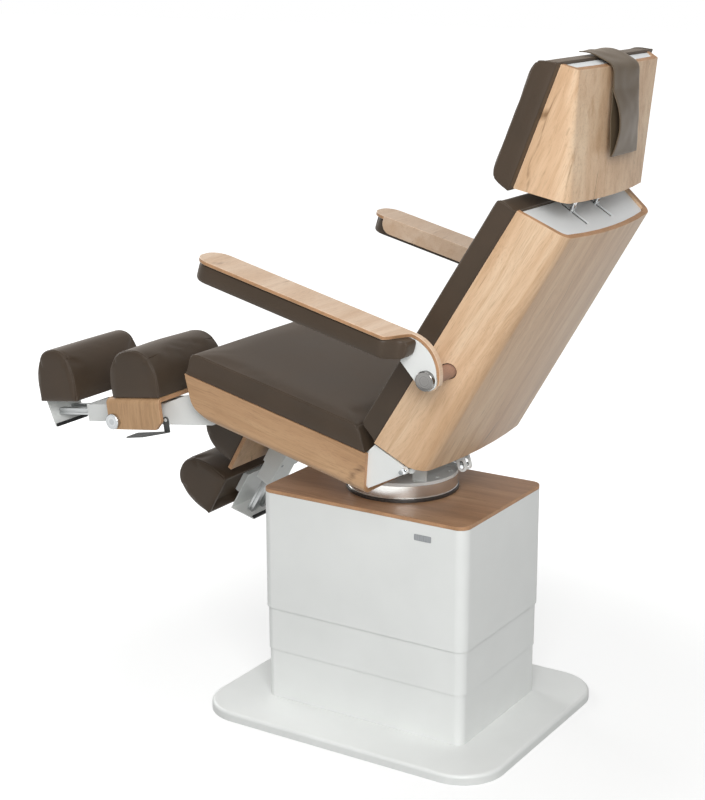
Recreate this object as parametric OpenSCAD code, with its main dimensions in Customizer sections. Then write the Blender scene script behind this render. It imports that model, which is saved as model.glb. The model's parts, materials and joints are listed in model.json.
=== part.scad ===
// Podiatry chair: telescopic column, swivel, tilting seat, reclining back with adjustable
// headrest, fold-up armrests and two leg rests that swing and extend by themselves.
// Origin: centre of the base plate's underside. +Z is up, the sitter faces -Y and their left is +X.

/* [Base and column] */
// Width of the base plate
base_w = 700; // [660:10:800]
// Length of the base plate
base_l = 855; // [800:5:950]
// Thickness of the base plate
base_h = 25; // [20:1:30]
// Corner radius of the base plate
base_corner_r = 117; // [60:1:150]
// Radius of the base plate's upper edge
base_edge_r = 9; // [4:1:14]
// Width of the upper shroud
column_w = 420; // [400:5:460]
// Length of the upper shroud
column_l = 600; // [560:5:640]
// Corner radius of the upper shroud
column_corner_r = 30; // [20:1:50]
// Height of the column's top at the stored height
column_top_z = 604; // [600:1:620]
// Thickness of the oak top board
board_h = 10; // [8:1:14]
// Lower edge of the upper shroud at the stored height
upper_skirt_z = 277; // [276:1:300]
// Lower edge of the middle shroud at the stored height
middle_skirt_z = 160; // [155:1:170]
// Wall of the upper shroud
upper_wall = 3; // [2:0.5:3]
// Wall of the two inner shrouds
inner_wall = 1.5; // [1:0.1:1.6]
// Air between two shrouds
shroud_gap = 1; // [0.5:0.1:1.5]

/* [Swivel] */
// Radius of the dark swivel base
swivel_base_r = 146; // [140:1:150]
// Radius of the turned aluminium ring
swivel_ring_r = 143; // [136:1:144]
// Height of the turned aluminium ring
swivel_ring_h = 34; // [30:1:34]
// Radius of the journal that the ring turns on
journal_r = 110; // [100:1:118]

/* [Seat] */
// Tilt of the seat, its front up
seat_tilt = 13; // [0:1:13]
// Width of the seat over the shell
seat_w = 564; // [540:2:580]
// Thickness of the bent plywood shells
ply = 12; // [9:0.5:14]
// Depth of the seat shell
seat_shell_h = 103; // [98:1:108]
// Outer bend radius of the seat shell
seat_bend_r = 24; // [20:1:30]
// Thickness of the seat cushion
seat_pad_h = 65; // [55:1:70]
// Reach of the seat shell in front of the recline axis
seat_reach = 665; // [655:1:690]
// Distance from the recline axis forward to the shell's rear edge
seat_rear = 97; // [95:1:102]

/* [Backrest] */
// Lean of the backrest from the vertical
back_lean = 32; // [32:1:40]
// Length of the backrest above the recline axis
back_l = 705; // [690:5:720]
// Thickness of the back cushion
back_pad_h = 60; // [50:1:64]
// Half width of the back shell's rear face at its top
back_rear_top = 231; // [225:1:236]
// Half width of the back shell's rear face at its foot
back_rear_foot = 256; // [250:1:258]
// Bow of the back shell's rear face
back_bow = 16; // [10:1:20]

/* [Headrest] */
// Forward tilt of the headrest against the backrest
head_tilt = 10.5; // [8:0.5:11]
// Half width of the headrest's front
head_half_w = 240; // [230:1:250]
// Height of the headrest shell
head_h = 295; // [280:5:300]
// Thickness of the headrest cushion
head_pad_h = 56; // [45:1:60]
// Radius of the headrest rods
rod_r = 6; // [5:0.5:7]
// Half distance between the headrest rods
rod_half = 66; // [60:1:80]

/* [Armrests] */
// Reach of the armrest in front of its pivot
arm_l = 634; // [600:2:660]
// Width of the armrest
arm_w = 98; // [85:1:104]
// Gap between the backrest's side and the armrest's inner face
arm_gap = 70; // [63:1:88]
// Height of the armrest's top above its pivot
arm_rise = 92; // [85:1:98]
// Depth of the armrest's pad
arm_pad_h = 47; // [40:1:50]
// Radius of the armrest's chrome end cap
arm_cap_r = 23.5; // [20:0.5:26]

/* [Leg rests] */
// Angle of the left leg rest below the seat's plane
leg_angle_left = 20.7; // [0:0.1:85]
// Angle of the right leg rest below the seat's plane
leg_angle_right = 73.4; // [0:0.1:85]
// How far the left slide is drawn out
slide_left = 110; // [0:1:150]
// How far the right slide is drawn out
slide_right = 38; // [0:1:150]
// How far each leg rest stands out past the seat's side
leg_lip = 10; // [4:1:14]
// Width of the leg arm's housing
leg_arm_w = 100; // [90:1:110]
// Depth of the leg arm's housing
leg_arm_h = 56; // [52:1:60]
// Height of the calf roll
calf_roll_h = 130; // [120:1:140]
// Height of the foot roll
foot_roll_h = 145; // [130:1:150]

/* [Hidden] */
$fn = 64;

// Overrun of every cut, rest gap of soft pieces, air beside a moving piece and a turning fit
over = 2;
rest_gap = 0.3;
side_gap = 1;
fit = 0.05;

// Column: lift tubes, their head plate and the drive
middle_top_z = 442;
middle_plate_h = 4;
glide_h = 40;
lower_top_z = 315;
tube_w = 180;
tube_wall = 6;
tube_gap = 2;
tube_corner_r = 18;
inner_tube_l = 300;
lift_floor_gap = 8;
head_plate_h = 8;
head_plate_inset = 12;
motor_w = 46;
motor_l = 70;
motor_h = 130;
spindle_x = 24;
drive_r = 29;
drive_wall = 4;
drive_h = 275;
spindle_gap = 0.1;
spindle_wall = 5;
middle_spindle_z = 160;
middle_spindle_l = 270;
lift_rod_z = 290;

// Swivel: base disc, journal, turntable and its tilt ears
swivel_base_h = 8;
swivel_bore_r = 40;
spigot_r = 58;
ring_gap = 0.5;
plate_h = 8;
plate_hole_r = 6;
plate_hole_count = 12;
plate_hole_ring_r = 126;
tilt_y = 95;
tilt_z = 700;
tilt_ear_half_x = 76;
tilt_ear_w = 9;
tilt_ear_r = 19;
shaft_r = 10;
ring_groove_h = 2;
ring_groove_d = 1.2;

// Recline axis: height, setback, bolts and the frame's hinge plates
recline_y = 165;
recline_z = 743;
bolt_r = 5;
bolt_head_r = 7.6;
bolt_head_h = 5;
hinge_plate_t = 6;
hinge_hub_r = 8.6;
back_lug_r = 14;
hinge_inset = 26;
hinge_top_z = 12;
hinge_foot_y = 88;
hinge_foot_z = 84;

// Seat: lip heights, pan, rails and the cut for the leg arms
seat_edge_z = 4.7;
pan_h = 6;
rail_w = 30;
rail_h = 26;
front_drop = 70;
front_lean = 38;
front_foot = 105;
front_round_r = 55;
rear_lean = 8;
leg_cut_set = 190;
leg_cut_y = seat_reach - leg_cut_set;
seat_back_gap = 3;
seat_pad_set = 39;
end_plate_t = 3;

// Leg hinge: place against the seat's front edge and its plane
leg_set = 83.5;
leg_y = seat_reach - leg_set;
leg_z = 24.5;
leg_hub_r = 19;
leg_shaft_r = 9;
leg_inner_x = 6;
leg_arm_set = 32;
leg_arm_x = seat_w / 2 - ply - leg_arm_set - leg_arm_w;

// Backrest: the planes of its cushion, shell and lugs
back_front = 98;
back_depth_top = 116;
back_depth_foot = 136;
back_foot_z = 9.4;
back_foot_rise_share = 0.33;
back_pad_set = 12;
back_corner_r = 34;
cap_drop = 7;
cap_t = 4;
slot_w = 14;
slot_front = 88;
slot_rear = 10;
back_board_t = 8;
axle_r = 8;
axle_boss_r = 17.6;
axle_hole_gap = 2;

// Armrest pivot against the recline axis, in the backrest's plane
arm_pivot_y = 41;
arm_pivot_z = 281;
arm_pitch = 13.8;
arm_inner_x = seat_w / 2 + arm_gap;
arm_ply = 9;
arm_flange_h = 45;
arm_hub_r = 29;
arm_plate_t = 6;
arm_cap_h = 13;

// Headrest carriage, in the backrest's plane, and the headrest above it
carriage_y = 14.3;
carriage_z = 460;
carriage_w = 190;
carriage_h = 50;
carriage_d = 26;
rod_foot_z = 145;
rod_top_z = 90;
head_plate_l = 150;
head_foot_z = 283;
head_foot_rise = 17;
head_front_y = 83;
head_depth_top = 35;
head_depth_foot = 124;
head_pad_over = 6;
head_rear_top = 218;
head_rear_foot = 211;
head_pad_flare = 23;
head_bow = 14;
head_corner_r = 26;
strap_w = 140;
strap_t = 4;
strap_hang = 192;
strap_lead = 9;
strap_bend_r = 9;
strap_fall = 21.5;

// Leg rest, measured from its hinge: s along the leg, t square to it
housing_foot_t = 89;
housing_end_s = 330;
housing_wall = 4;
calf_s0 = 153;
calf_s1 = 315;
calf_t = 6;
flap_foot_t = 90;
flap_setin = 8;
flap_front_s = 334;
flap_rear_s = 156;
knob_s = 314;
knob_t = 67;
knob_r = 21;
knob_h = 12;
knob_pin_r = 5;
lever_s0 = 186;
lever_pivot_t = 76;
lever_drop = 32;
lever_dip = 3;
lever_l = 104;
lever_w = 50;
lever_t = 3;
lever_neck_l = 44;
bore_end_s = 102;
slide_home_s = 351;
slide_tail = 246;
rail_s = 115;
rail_h2 = 9;
foot_s0 = 330;
foot_s1 = 464;
foot_t = 17.5;
foot_hollow = 20;
plate_top_s = 482;
plate_foot_s = 461;
plate_foot_t = 98;
plate_sheet = 3;
strip_h = 9;
strip_t = 6;

// Frames of the moving groups
module seat_place() translate([0, recline_y, recline_z]) rotate([-seat_tilt, 0, 0]) children();
module back_place() translate([0, recline_y, recline_z]) rotate([-back_lean, 0, 0]) children();
module carriage_place() back_place() translate([0, -carriage_y, carriage_z]) rotate([head_tilt, 0, 0]) children();
module arm_place(side) mirror([side < 0 ? 1 : 0, 0, 0])
    back_place() translate([0, -arm_pivot_y, arm_pivot_z]) rotate([back_lean - arm_pitch, 0, 0]) children();
module leg_place(side) mirror([side < 0 ? 1 : 0, 0, 0])
    seat_place() translate([0, -leg_y, -leg_z])
        rotate([side > 0 ? leg_angle_left : leg_angle_right, 0, 0]) children();
module slide_place(side) leg_place(side) translate([0, side > 0 ? -slide_left : -slide_right, 0]) children();

// Outline through the given corners, each turned with its own radius
function turned(pts, radii, steps = 8) = [
    for (i = [0 : len(pts) - 1])
        let (n = len(pts), a = pts[(i + n - 1) % n], b = pts[i], c = pts[(i + 1) % n],
             u = (a - b) / norm(a - b), v = (c - b) / norm(c - b), half = acos(u * v) / 2,
             r = radii[i], m = b + (u + v) / norm(u + v) * r / sin(half),
             p = b + u * r / tan(half) - m, q = b + v * r / tan(half) - m,
             from = atan2(p[1], p[0]), swing = atan2(q[1], q[0]) - from, turn = swing - 360 * round(swing / 360))
        each r == 0 ? [b] : [for (k = [0 : steps]) m + r * [cos(from + turn * k / steps), sin(from + turn * k / steps)]]
];

// Plan outline with round corners, centred
module round_rect(w, l, r) {
    square([w - 2 * r, l], center = true);
    square([w, l - 2 * r], center = true);
    for (sx = [-1, 1], sy = [-1, 1]) translate([sx * (w / 2 - r), sy * (l / 2 - r)]) circle(r);
}

// Upright tube of a round-cornered section
module round_tube(w, l, r, wall, z0, z1) translate([0, 0, z0]) linear_extrude(z1 - z0) difference() {
    round_rect(w, l, r);
    round_rect(w - 2 * wall, l - 2 * wall, r - wall);
}

// Extrusion along X between two places of an outline drawn in Y and Z
module across(x0, x1) translate([x0, 0, 0]) rotate([90, 0, 90]) linear_extrude(x1 - x0) children();

// Cylinder along X between two places
module bar_x(x0, x1, r, y = 0, z = 0) translate([x0, y, z]) rotate([0, 90, 0]) cylinder(h = x1 - x0, r = r);

// Closed skin over a row of rings with the same number of points
module skin(rings) {
    n = len(rings[0]);
    m = len(rings);
    middle = function(ring) [for (k = [0 : 2]) [for (p = ring) p[k]] * [for (p = ring) 1] / n];
    points = concat([for (ring = rings) each ring], [middle(rings[0]), middle(rings[m - 1])]);
    sides = [for (i = [0 : m - 2], j = [0 : n - 1]) each let (k = (j + 1) % n)
        [[i * n + j, (i + 1) * n + k, (i + 1) * n + j], [i * n + j, i * n + k, (i + 1) * n + k]]];
    ends = [for (j = [0 : n - 1]) each let (k = (j + 1) % n)
        [[n * m, k, j], [n * m + 1, (m - 1) * n + j, (m - 1) * n + k]]];
    polyhedron(points, concat(sides, ends));
}

// Signed power, which squares up an ellipse into a cushion's section
function boxy(v, e) = (v < 0 ? -1 : 1) * pow(abs(v), e);

/* Column */

module base_edge(half) {
    square([half - base_edge_r, base_h]);
    square([half, base_h - base_edge_r]);
    translate([half - base_edge_r, base_h - base_edge_r]) circle(base_edge_r);
}

module base_plate() color("whitesmoke") {
    for (sx = [-1, 1], sy = [-1, 1])
        translate([sx * (base_w / 2 - base_corner_r), sy * (base_l / 2 - base_corner_r), 0])
            rotate_extrude() base_edge(base_corner_r);
    rotate([90, 0, 90]) linear_extrude(base_w - 2 * base_corner_r, center = true) {
        base_edge(base_l / 2);
        mirror([1, 0]) base_edge(base_l / 2);
    }
    rotate([90, 0, 0]) linear_extrude(base_l - 2 * base_corner_r, center = true) {
        base_edge(base_w / 2);
        mirror([1, 0]) base_edge(base_w / 2);
    }
}

middle_step = upper_wall + shroud_gap;
lower_step = middle_step + inner_wall + shroud_gap;

module lower_shroud() color("white")
    round_tube(column_w - 2 * lower_step, column_l - 2 * lower_step, column_corner_r - lower_step, inner_wall,
        base_h, lower_top_z);

module middle_shroud() color("white")
    round_tube(column_w - 2 * middle_step, column_l - 2 * middle_step, column_corner_r - middle_step, inner_wall,
        middle_skirt_z, middle_top_z);

module upper_shroud() color("white")
    round_tube(column_w, column_l, column_corner_r, upper_wall, upper_skirt_z, column_top_z - board_h);

module top_board() color("peru") translate([0, 0, column_top_z - board_h]) linear_extrude(board_h) difference() {
    round_rect(column_w, column_l, column_corner_r);
    circle(spigot_r + side_gap);
}

tube_step = tube_wall + tube_gap;
inner_tube_w = tube_w - 4 * tube_step;
inner_tube_foot_z = column_top_z - board_h - head_plate_h - inner_tube_l;

module lift_outer_tube() color("gainsboro")
    round_tube(tube_w, tube_w, tube_corner_r, tube_wall, base_h, lower_top_z - tube_gap);

// Four glide pads on the foot of a lift tube
module glides(w, z) for (k = [0 : 3]) rotate([0, 0, 90 * k])
    translate([w / 2 - over, -w / 4, z]) cube([tube_gap + over - fit, w / 2, glide_h]);

middle_tube_w = tube_w - 2 * tube_step;

module lift_middle_tube() color("silver") {
    round_tube(middle_tube_w, middle_tube_w, tube_corner_r - tube_step / 2, tube_wall,
        middle_skirt_z - lift_floor_gap / 2, middle_top_z);
    glides(middle_tube_w, middle_skirt_z);
    // plate that carries the middle shroud
    translate([0, 0, middle_top_z]) linear_extrude(middle_plate_h) difference() {
        round_rect(column_w - 2 * middle_step - over, column_l - 2 * middle_step - over, column_corner_r - middle_step);
        square(inner_tube_w + 2 * tube_gap, center = true);
    }
}

module lift_inner_tube() color("gainsboro") {
    round_tube(inner_tube_w, inner_tube_w, tube_corner_r - tube_step, tube_wall,
        inner_tube_foot_z, column_top_z - board_h - head_plate_h);
    glides(inner_tube_w, inner_tube_foot_z);
    translate([0, 0, column_top_z - board_h - head_plate_h]) linear_extrude(head_plate_h) difference() {
        round_rect(column_w - 2 * head_plate_inset, column_l - 2 * head_plate_inset, column_corner_r - head_plate_inset);
        circle(swivel_bore_r);
    }
}

drive_bore_r = drive_r - drive_wall;
middle_spindle_r = drive_bore_r - spindle_gap;
middle_spindle_bore_r = middle_spindle_r - spindle_wall;
lift_rod_r = middle_spindle_bore_r - spindle_gap;

module lift_motor() color("dimgray") translate([0, 0, base_h]) {
    translate([drive_r - spindle_x - drive_wall, -motor_l / 2, 0]) cube([motor_w, motor_l, motor_h]);
    translate([-spindle_x, 0, 0]) difference() {
        cylinder(h = drive_h, r = drive_r);
        translate([0, 0, lift_floor_gap]) cylinder(h = drive_h, r = drive_bore_r);
    }
}

module lift_middle_spindle() color("silver") translate([-spindle_x, 0, middle_spindle_z]) difference() {
    cylinder(h = middle_spindle_l, r = middle_spindle_r);
    translate([0, 0, -over]) cylinder(h = middle_spindle_l + 2 * over, r = middle_spindle_bore_r);
}

module lift_rod() color("lightgray") translate([-spindle_x, 0, lift_rod_z])
    cylinder(h = column_top_z - board_h - head_plate_h - lift_rod_z, r = lift_rod_r);

/* Swivel */

ring_z = column_top_z + swivel_base_h + ring_gap;
plate_z = ring_z + swivel_ring_h;

module swivel_base() color("dimgray") difference() {
    union() {
        translate([0, 0, column_top_z]) cylinder(h = swivel_base_h, r = swivel_base_r);
        translate([0, 0, column_top_z - board_h]) cylinder(h = board_h, r = spigot_r);
        translate([0, 0, column_top_z]) cylinder(h = swivel_base_h + swivel_ring_h - plate_h, r = journal_r);
    }
    translate([0, 0, column_top_z - board_h - over]) cylinder(h = board_h + swivel_ring_h + swivel_base_h, r = swivel_bore_r);
}

module swivel_ring() color("silver") translate([0, 0, ring_z]) difference() {
    cylinder(h = swivel_ring_h, r = swivel_ring_r);
    translate([0, 0, -over]) cylinder(h = swivel_ring_h + 2 * over, r = journal_r + fit);
    translate([0, 0, ring_groove_h]) difference() {
        cylinder(h = ring_groove_h, r = swivel_ring_r + over);
        cylinder(h = ring_groove_h, r = swivel_ring_r - ring_groove_d);
    }
}

module tilt_ear(x) across(x - tilt_ear_w / 2, x + tilt_ear_w / 2) difference() {
    union() {
        translate([tilt_y, tilt_z]) circle(tilt_ear_r);
        translate([tilt_y - tilt_ear_r, plate_z + plate_h / 2]) square([2 * tilt_ear_r, tilt_z - plate_z - plate_h / 2]);
    }
    translate([tilt_y, tilt_z]) circle(shaft_r + fit);
}

module turntable_plate() color("white") {
    difference() {
        translate([0, 0, plate_z]) cylinder(h = plate_h, r = swivel_ring_r);
        translate([0, 0, plate_z - over]) cylinder(h = plate_h + 2 * over, r = swivel_bore_r);
        for (k = [0 : plate_hole_count - 1]) rotate([0, 0, (k + 0.5) * 360 / plate_hole_count])
            translate([plate_hole_ring_r, 0, plate_z - over]) cylinder(h = plate_h + 2 * over, r = plate_hole_r);
    }
    for (side = [-1, 1]) tilt_ear(side * tilt_ear_half_x);
}

/* Seat */

seat_inner = seat_w / 2 - ply;
tray_floor_z = seat_edge_z - seat_shell_h + ply;
tray_bend_r = seat_bend_r - ply;

// Side outline of the seat shell, seen from the sitter's left
function seat_outline(grow = 0) = turned([
    [-seat_reach, seat_edge_z], [-seat_reach + front_lean, -front_drop], [-seat_reach + front_foot, seat_edge_z - seat_shell_h],
    [-seat_rear + rear_lean, seat_edge_z - seat_shell_h], [-seat_rear - rear_lean, seat_edge_z]
], [0, front_round_r, front_round_r, 0, 0]);

module seat_section(half, foot, r) {
    translate([-half, foot + r]) square([2 * half, seat_edge_z - foot - r]);
    translate([-half + r, foot]) square([2 * half - 2 * r, r]);
    for (side = [-1, 1]) translate([side * (half - r), foot + r]) circle(r);
}

module seat_shell() color("burlywood") seat_place() difference() {
    intersection() {
        across(-seat_w / 2, seat_w / 2) polygon(seat_outline());
        rotate([90, 0, 0]) linear_extrude(seat_reach + over) difference() {
            seat_section(seat_w / 2, seat_edge_z - seat_shell_h, seat_bend_r);
            translate([0, over]) seat_section(seat_inner, tray_floor_z - over, tray_bend_r);
        }
    }
    translate([-seat_inner, -seat_reach - over, seat_edge_z - seat_shell_h - over])
        cube([2 * seat_inner, seat_reach - leg_cut_y + over, seat_shell_h]);
}

module seat_hinge_plate() difference() {
    union() {
        circle(hinge_hub_r);
        polygon([[-seat_rear - rear_lean - over, seat_edge_z - pan_h], [-seat_rear - rear_lean, hinge_top_z],
            [-back_front * cos(back_lean - seat_tilt), back_front * sin(back_lean - seat_tilt)],
            [bolt_r * sin(back_lean - seat_tilt), bolt_head_r * cos(back_lean - seat_tilt)],
            [bolt_r / 2, -bolt_head_r], [-hinge_foot_y, -hinge_foot_z],
            [-seat_rear - rear_lean - over, seat_edge_z - seat_shell_h + seat_bend_r]]);
        translate([-seat_reach + front_lean + ply, -rail_h])
            square([seat_reach - front_lean - ply - seat_rear, rail_h + seat_edge_z - pan_h]);
        translate([-leg_y, -leg_z]) circle(leg_hub_r);
    }
    circle(bolt_r + fit);
    translate([-leg_y, -leg_z]) circle(leg_shaft_r + fit);
}

tilt_local_y = (tilt_y - recline_y) * cos(seat_tilt) - (tilt_z - recline_z) * sin(seat_tilt);
tilt_local_z = (tilt_y - recline_y) * sin(seat_tilt) + (tilt_z - recline_z) * cos(seat_tilt);
hinge_x = seat_inner - hinge_plate_t;
lug_x = tilt_ear_half_x + tilt_ear_w / 2 + side_gap;
cross_y = seat_rear + rail_w + ply;

module seat_frame() color("white") seat_place() {
    for (side = [-1, 1]) mirror([side < 0 ? 1 : 0, 0, 0]) {
        difference() {
            across(hinge_x, seat_inner) seat_hinge_plate();
            // clears the round lower corner of the tray
            translate([seat_inner - tray_bend_r, -seat_rear + rear_lean + over, tray_floor_z]) rotate([90, 0, 0])
                linear_extrude(seat_reach) difference() {
                    translate([0, -tray_bend_r]) square([2 * tray_bend_r, 2 * tray_bend_r]);
                    translate([0, tray_bend_r]) circle(tray_bend_r - fit);
                }
        }
        // side rail under the pan
        translate([hinge_x - rail_w, -leg_cut_y, -rail_h]) cube([rail_w, leg_cut_y - seat_rear - ply, rail_h + seat_edge_z - pan_h]);
        // hanger of the recline motor
        translate([actuator_motor_w / 2, -actuator_y - actuator_motor_w, -actuator_z])
            cube([hinge_plate_t, actuator_motor_w, actuator_z + seat_edge_z - pan_h]);
        // lug that hangs on the tilt shaft
        across(lug_x, lug_x + tilt_ear_w) difference() {
            union() {
                translate([tilt_local_y, tilt_local_z]) circle(tilt_ear_r);
                translate([tilt_local_y - tilt_ear_r, tilt_local_z]) square([2 * tilt_ear_r, -tilt_local_z - rail_h / 2]);
                translate([-cross_y, -rail_h]) square([cross_y + tilt_local_y + tilt_ear_r, rail_h / 2]);
            }
            translate([tilt_local_y, tilt_local_z]) circle(shaft_r + fit);
        }
        // inner hinge plate of the leg arm
        across(leg_arm_x - side_gap - hinge_plate_t, leg_arm_x - side_gap) difference() {
            union() {
                translate([-leg_y, -leg_z]) circle(leg_hub_r);
                translate([-leg_y, -leg_z]) square([leg_y - leg_cut_y + rail_w / 2, leg_hub_r]);
            }
            translate([-leg_y, -leg_z]) circle(leg_shaft_r + fit);
        }
    }
    // cross rails and the pan
    for (y = [leg_cut_y, cross_y]) translate([-hinge_x, -y, -rail_h]) cube([2 * hinge_x, rail_w, rail_h + seat_edge_z - pan_h]);
    translate([-seat_inner, -seat_reach + front_lean, seat_edge_z - pan_h])
        cube([2 * seat_inner, seat_reach - front_lean - seat_rear - rear_lean - ply, pan_h]);
}

module seat_end_plate() color("white") seat_place() difference() {
    translate([-hinge_x, -seat_rear - rear_lean - end_plate_t, tray_floor_z + 2 * side_gap])
        cube([2 * hinge_x, end_plate_t, seat_shell_h - ply - pan_h - rail_h - 2 * side_gap]);
    translate([0, -seat_rear - rear_lean - end_plate_t - over, -actuator_z])
        rotate([-90, 0, 0]) cylinder(h = end_plate_t + 2 * over, r = actuator_rod_r + over);
}

// Cushion section in X and Z at one station: half width, underside, thickness and crown
function pad_ring(y, half, z0, h, crown, e, n = 36) = [for (k = [0 : n - 1])
    let (a = 360 * k / n, c = boxy(cos(a), e), s = boxy(sin(a), e))
    [half * c, y, z0 + h / 2 + s * h / 2 + (s > 0 ? crown * (1 - c * c) * s : 0)]];

pad_square_share = 0.28;
pad_crown = 7;
pad_draw = 3;
pad_round = 14;

// Stations along a cushion: place, how much of the thickness is there and how far the edge is turned in
pad_turn_shares = [[0, 1], [0.25, 0.5], [0.6, 0.18], [1, 0]];

module slab_pad(half, y0, y1, z0, h, shear0 = 0, shear1 = 0) {
    stations = concat(
        [for (t = pad_turn_shares) [y0 + pad_round * t[0], t[1]]],
        [for (k = [1 : 8]) [y0 + pad_round + (y1 - y0 - 2 * pad_round) * k / 9, 0]],
        [for (i = [3 : -1 : 0]) [y1 - pad_round * pad_turn_shares[i][0], pad_turn_shares[i][1]]]);
    skin([for (s = stations)
        let (f = (s[0] - y0) / (y1 - y0), swell = sin(180 * f),
             ring = pad_ring(0, half - pad_draw * swell - pad_round * s[1] / 2, z0 + pad_round * s[1] / 2,
                 h - pad_round * s[1], pad_crown * swell, pad_square_share))
        [for (p = ring) [p[0], s[0] + ((1 - f) * shear0 + f * shear1) * (p[2] - z0) / h, p[2]]]]);
}

module seat_cushion() color("dimgray") seat_place()
    slab_pad(seat_w / 2, -seat_reach, -seat_rear - seat_back_gap - rear_lean, seat_edge_z + rest_gap,
        seat_pad_h - pad_crown / 2, 0, -seat_pad_set);

module hinge_pins() color("silver") {
    for (side = [-1, 1]) mirror([side < 0 ? 1 : 0, 0, 0]) {
        // stub of the tilt axis
        bar_x(tilt_ear_half_x - 2 * tilt_ear_w, lug_x + 2 * tilt_ear_w, shaft_r, tilt_y, tilt_z);
        seat_place() {
            // shaft of the leg rest
            bar_x(leg_arm_x - 2 * hinge_plate_t, seat_inner, leg_shaft_r, -leg_y, -leg_z);
            // recline bolt and its head
            bar_x(hinge_x - hinge_inset - hinge_plate_t, seat_inner, bolt_r);
            bar_x(seat_inner, seat_inner + bolt_head_h, bolt_head_r);
        }
    }
}

actuator_r = 16;
actuator_l = 150;
actuator_y = 300;
actuator_z = 50;
actuator_rod_r = 8;
actuator_motor_w = 60;
recline_swing = 60;
rod_tail_y = 235;
crank_pin_r = 5;
crank_pin_gap = 1.5;
crank_plate_t = 6;
rod_end_y = actuator_z * tan(recline_swing / 2);
crank_x = actuator_rod_r + crank_pin_gap;

module recline_motor() color("dimgray") seat_place() translate([0, -actuator_y, -actuator_z]) difference() {
    union() {
        rotate([-90, 0, 0]) cylinder(h = actuator_l, r = actuator_r);
        translate([-actuator_motor_w / 2, -actuator_motor_w, -actuator_r])
            cube([actuator_motor_w, actuator_motor_w, 2 * actuator_r]);
    }
    rotate([-90, 0, 0]) cylinder(h = actuator_l + over, r = actuator_rod_r + fit);
}

module recline_rod() color("silver") seat_place() {
    translate([0, -rod_tail_y, -actuator_z]) rotate([-90, 0, 0]) cylinder(h = rod_tail_y + rod_end_y, r = actuator_rod_r);
    bar_x(-crank_x - crank_plate_t - crank_pin_gap, crank_x + crank_plate_t + crank_pin_gap, crank_pin_r, rod_end_y, -actuator_z);
}

/* Backrest */

// Three-sided section: front half width, rear half width, front, rear, corner radius and bow of the rear
function shell_ring(w, h, front, rear, r, bow, z) = let (
    side = turned([[-w, front], [-h, rear], [0, rear]], [0, r, 0], 6),
    left = [for (k = [0 : 6]) let (p = side[k + 1]) p],
    flat = [for (k = [1 : 5]) [left[6][0] * (1 - k / 3), rear]],
    half = concat([[-w, front]], left),
    rest = [for (k = [len(half) - 1 : -1 : 0]) [-half[k][0], half[k][1]]])
    [for (p = concat(half, flat, rest))
        [p[0], p[1] + bow * max(0, 1 - pow(p[0] / h, 2)) * pow(max(0, (p[1] - front) / (rear - front)), 4), z]];

// Half width and depth of the back shell at a height along the back, 0 at its foot and 1 at its top
function back_rear_half(f) = back_rear_foot + (back_rear_top - back_rear_foot) * f;
function back_rear_y(f) = -back_front + back_depth_foot + (back_depth_top - back_depth_foot) * f;

// Section of the back shell in X and Y at one height, drawn in by a wall
function back_ring(f, wall, z, open) = shell_ring(seat_w / 2 - wall, back_rear_half(f) - wall,
    -back_front - open, back_rear_y(f) - wall, back_corner_r - wall, back_bow, z);

module back_solid(wall, z0, z1, open = 0) skin([for (k = [0 : 4]) let (z = z0 + (z1 - z0) * k / 4)
    back_ring((z - back_foot_z) / (back_l - back_foot_z), wall, z, open)]);

module back_shell() color("burlywood") back_place() difference() {
    back_solid(0, back_foot_z, back_l);
    back_solid(ply, back_foot_z - over, back_l + over, over);
    // foot of the shell, which rises towards the rear
    across(-seat_w, seat_w) polygon([[0, back_foot_z], [back_depth_foot, back_foot_z + back_depth_foot * back_foot_rise_share],
        [back_depth_foot, 0], [0, 0]]);
    for (side = [-1, 1]) bar_x(side < 0 ? -seat_w : 0, side < 0 ? 0 : seat_w, axle_boss_r + axle_hole_gap, -arm_pivot_y, arm_pivot_z);
}

module back_cap() color("gainsboro") back_place() difference() {
    intersection() {
        back_solid(ply + side_gap / 2, back_l - 2 * cap_drop, back_l + cap_drop, over);
        translate([-seat_w, -back_front + side_gap, back_l - cap_drop - cap_t]) cube([2 * seat_w, seat_w, cap_t]);
    }
    for (side = [-1, 1]) translate([side * rod_half - slot_w / 2, -slot_front, back_l - 2 * cap_drop])
        cube([slot_w, slot_front - slot_rear, 2 * cap_drop]);
}

module back_cushion() color("dimgray") back_place() translate([0, -back_front - rest_gap, 0]) rotate([90, 0, 0])
    slab_pad(seat_w / 2, back_foot_z, back_l - seat_back_gap, 0, back_pad_h - pad_crown / 2, back_pad_set, 0);

lug_l = 60;
back_lug_x = hinge_x - side_gap - hinge_plate_t;
guide_z = back_l - cap_drop - cap_t;
cap_notch_h = 44;
crank_w = 24;
crank_l = actuator_z / cos(recline_swing / 2) + crank_pin_gap;

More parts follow.
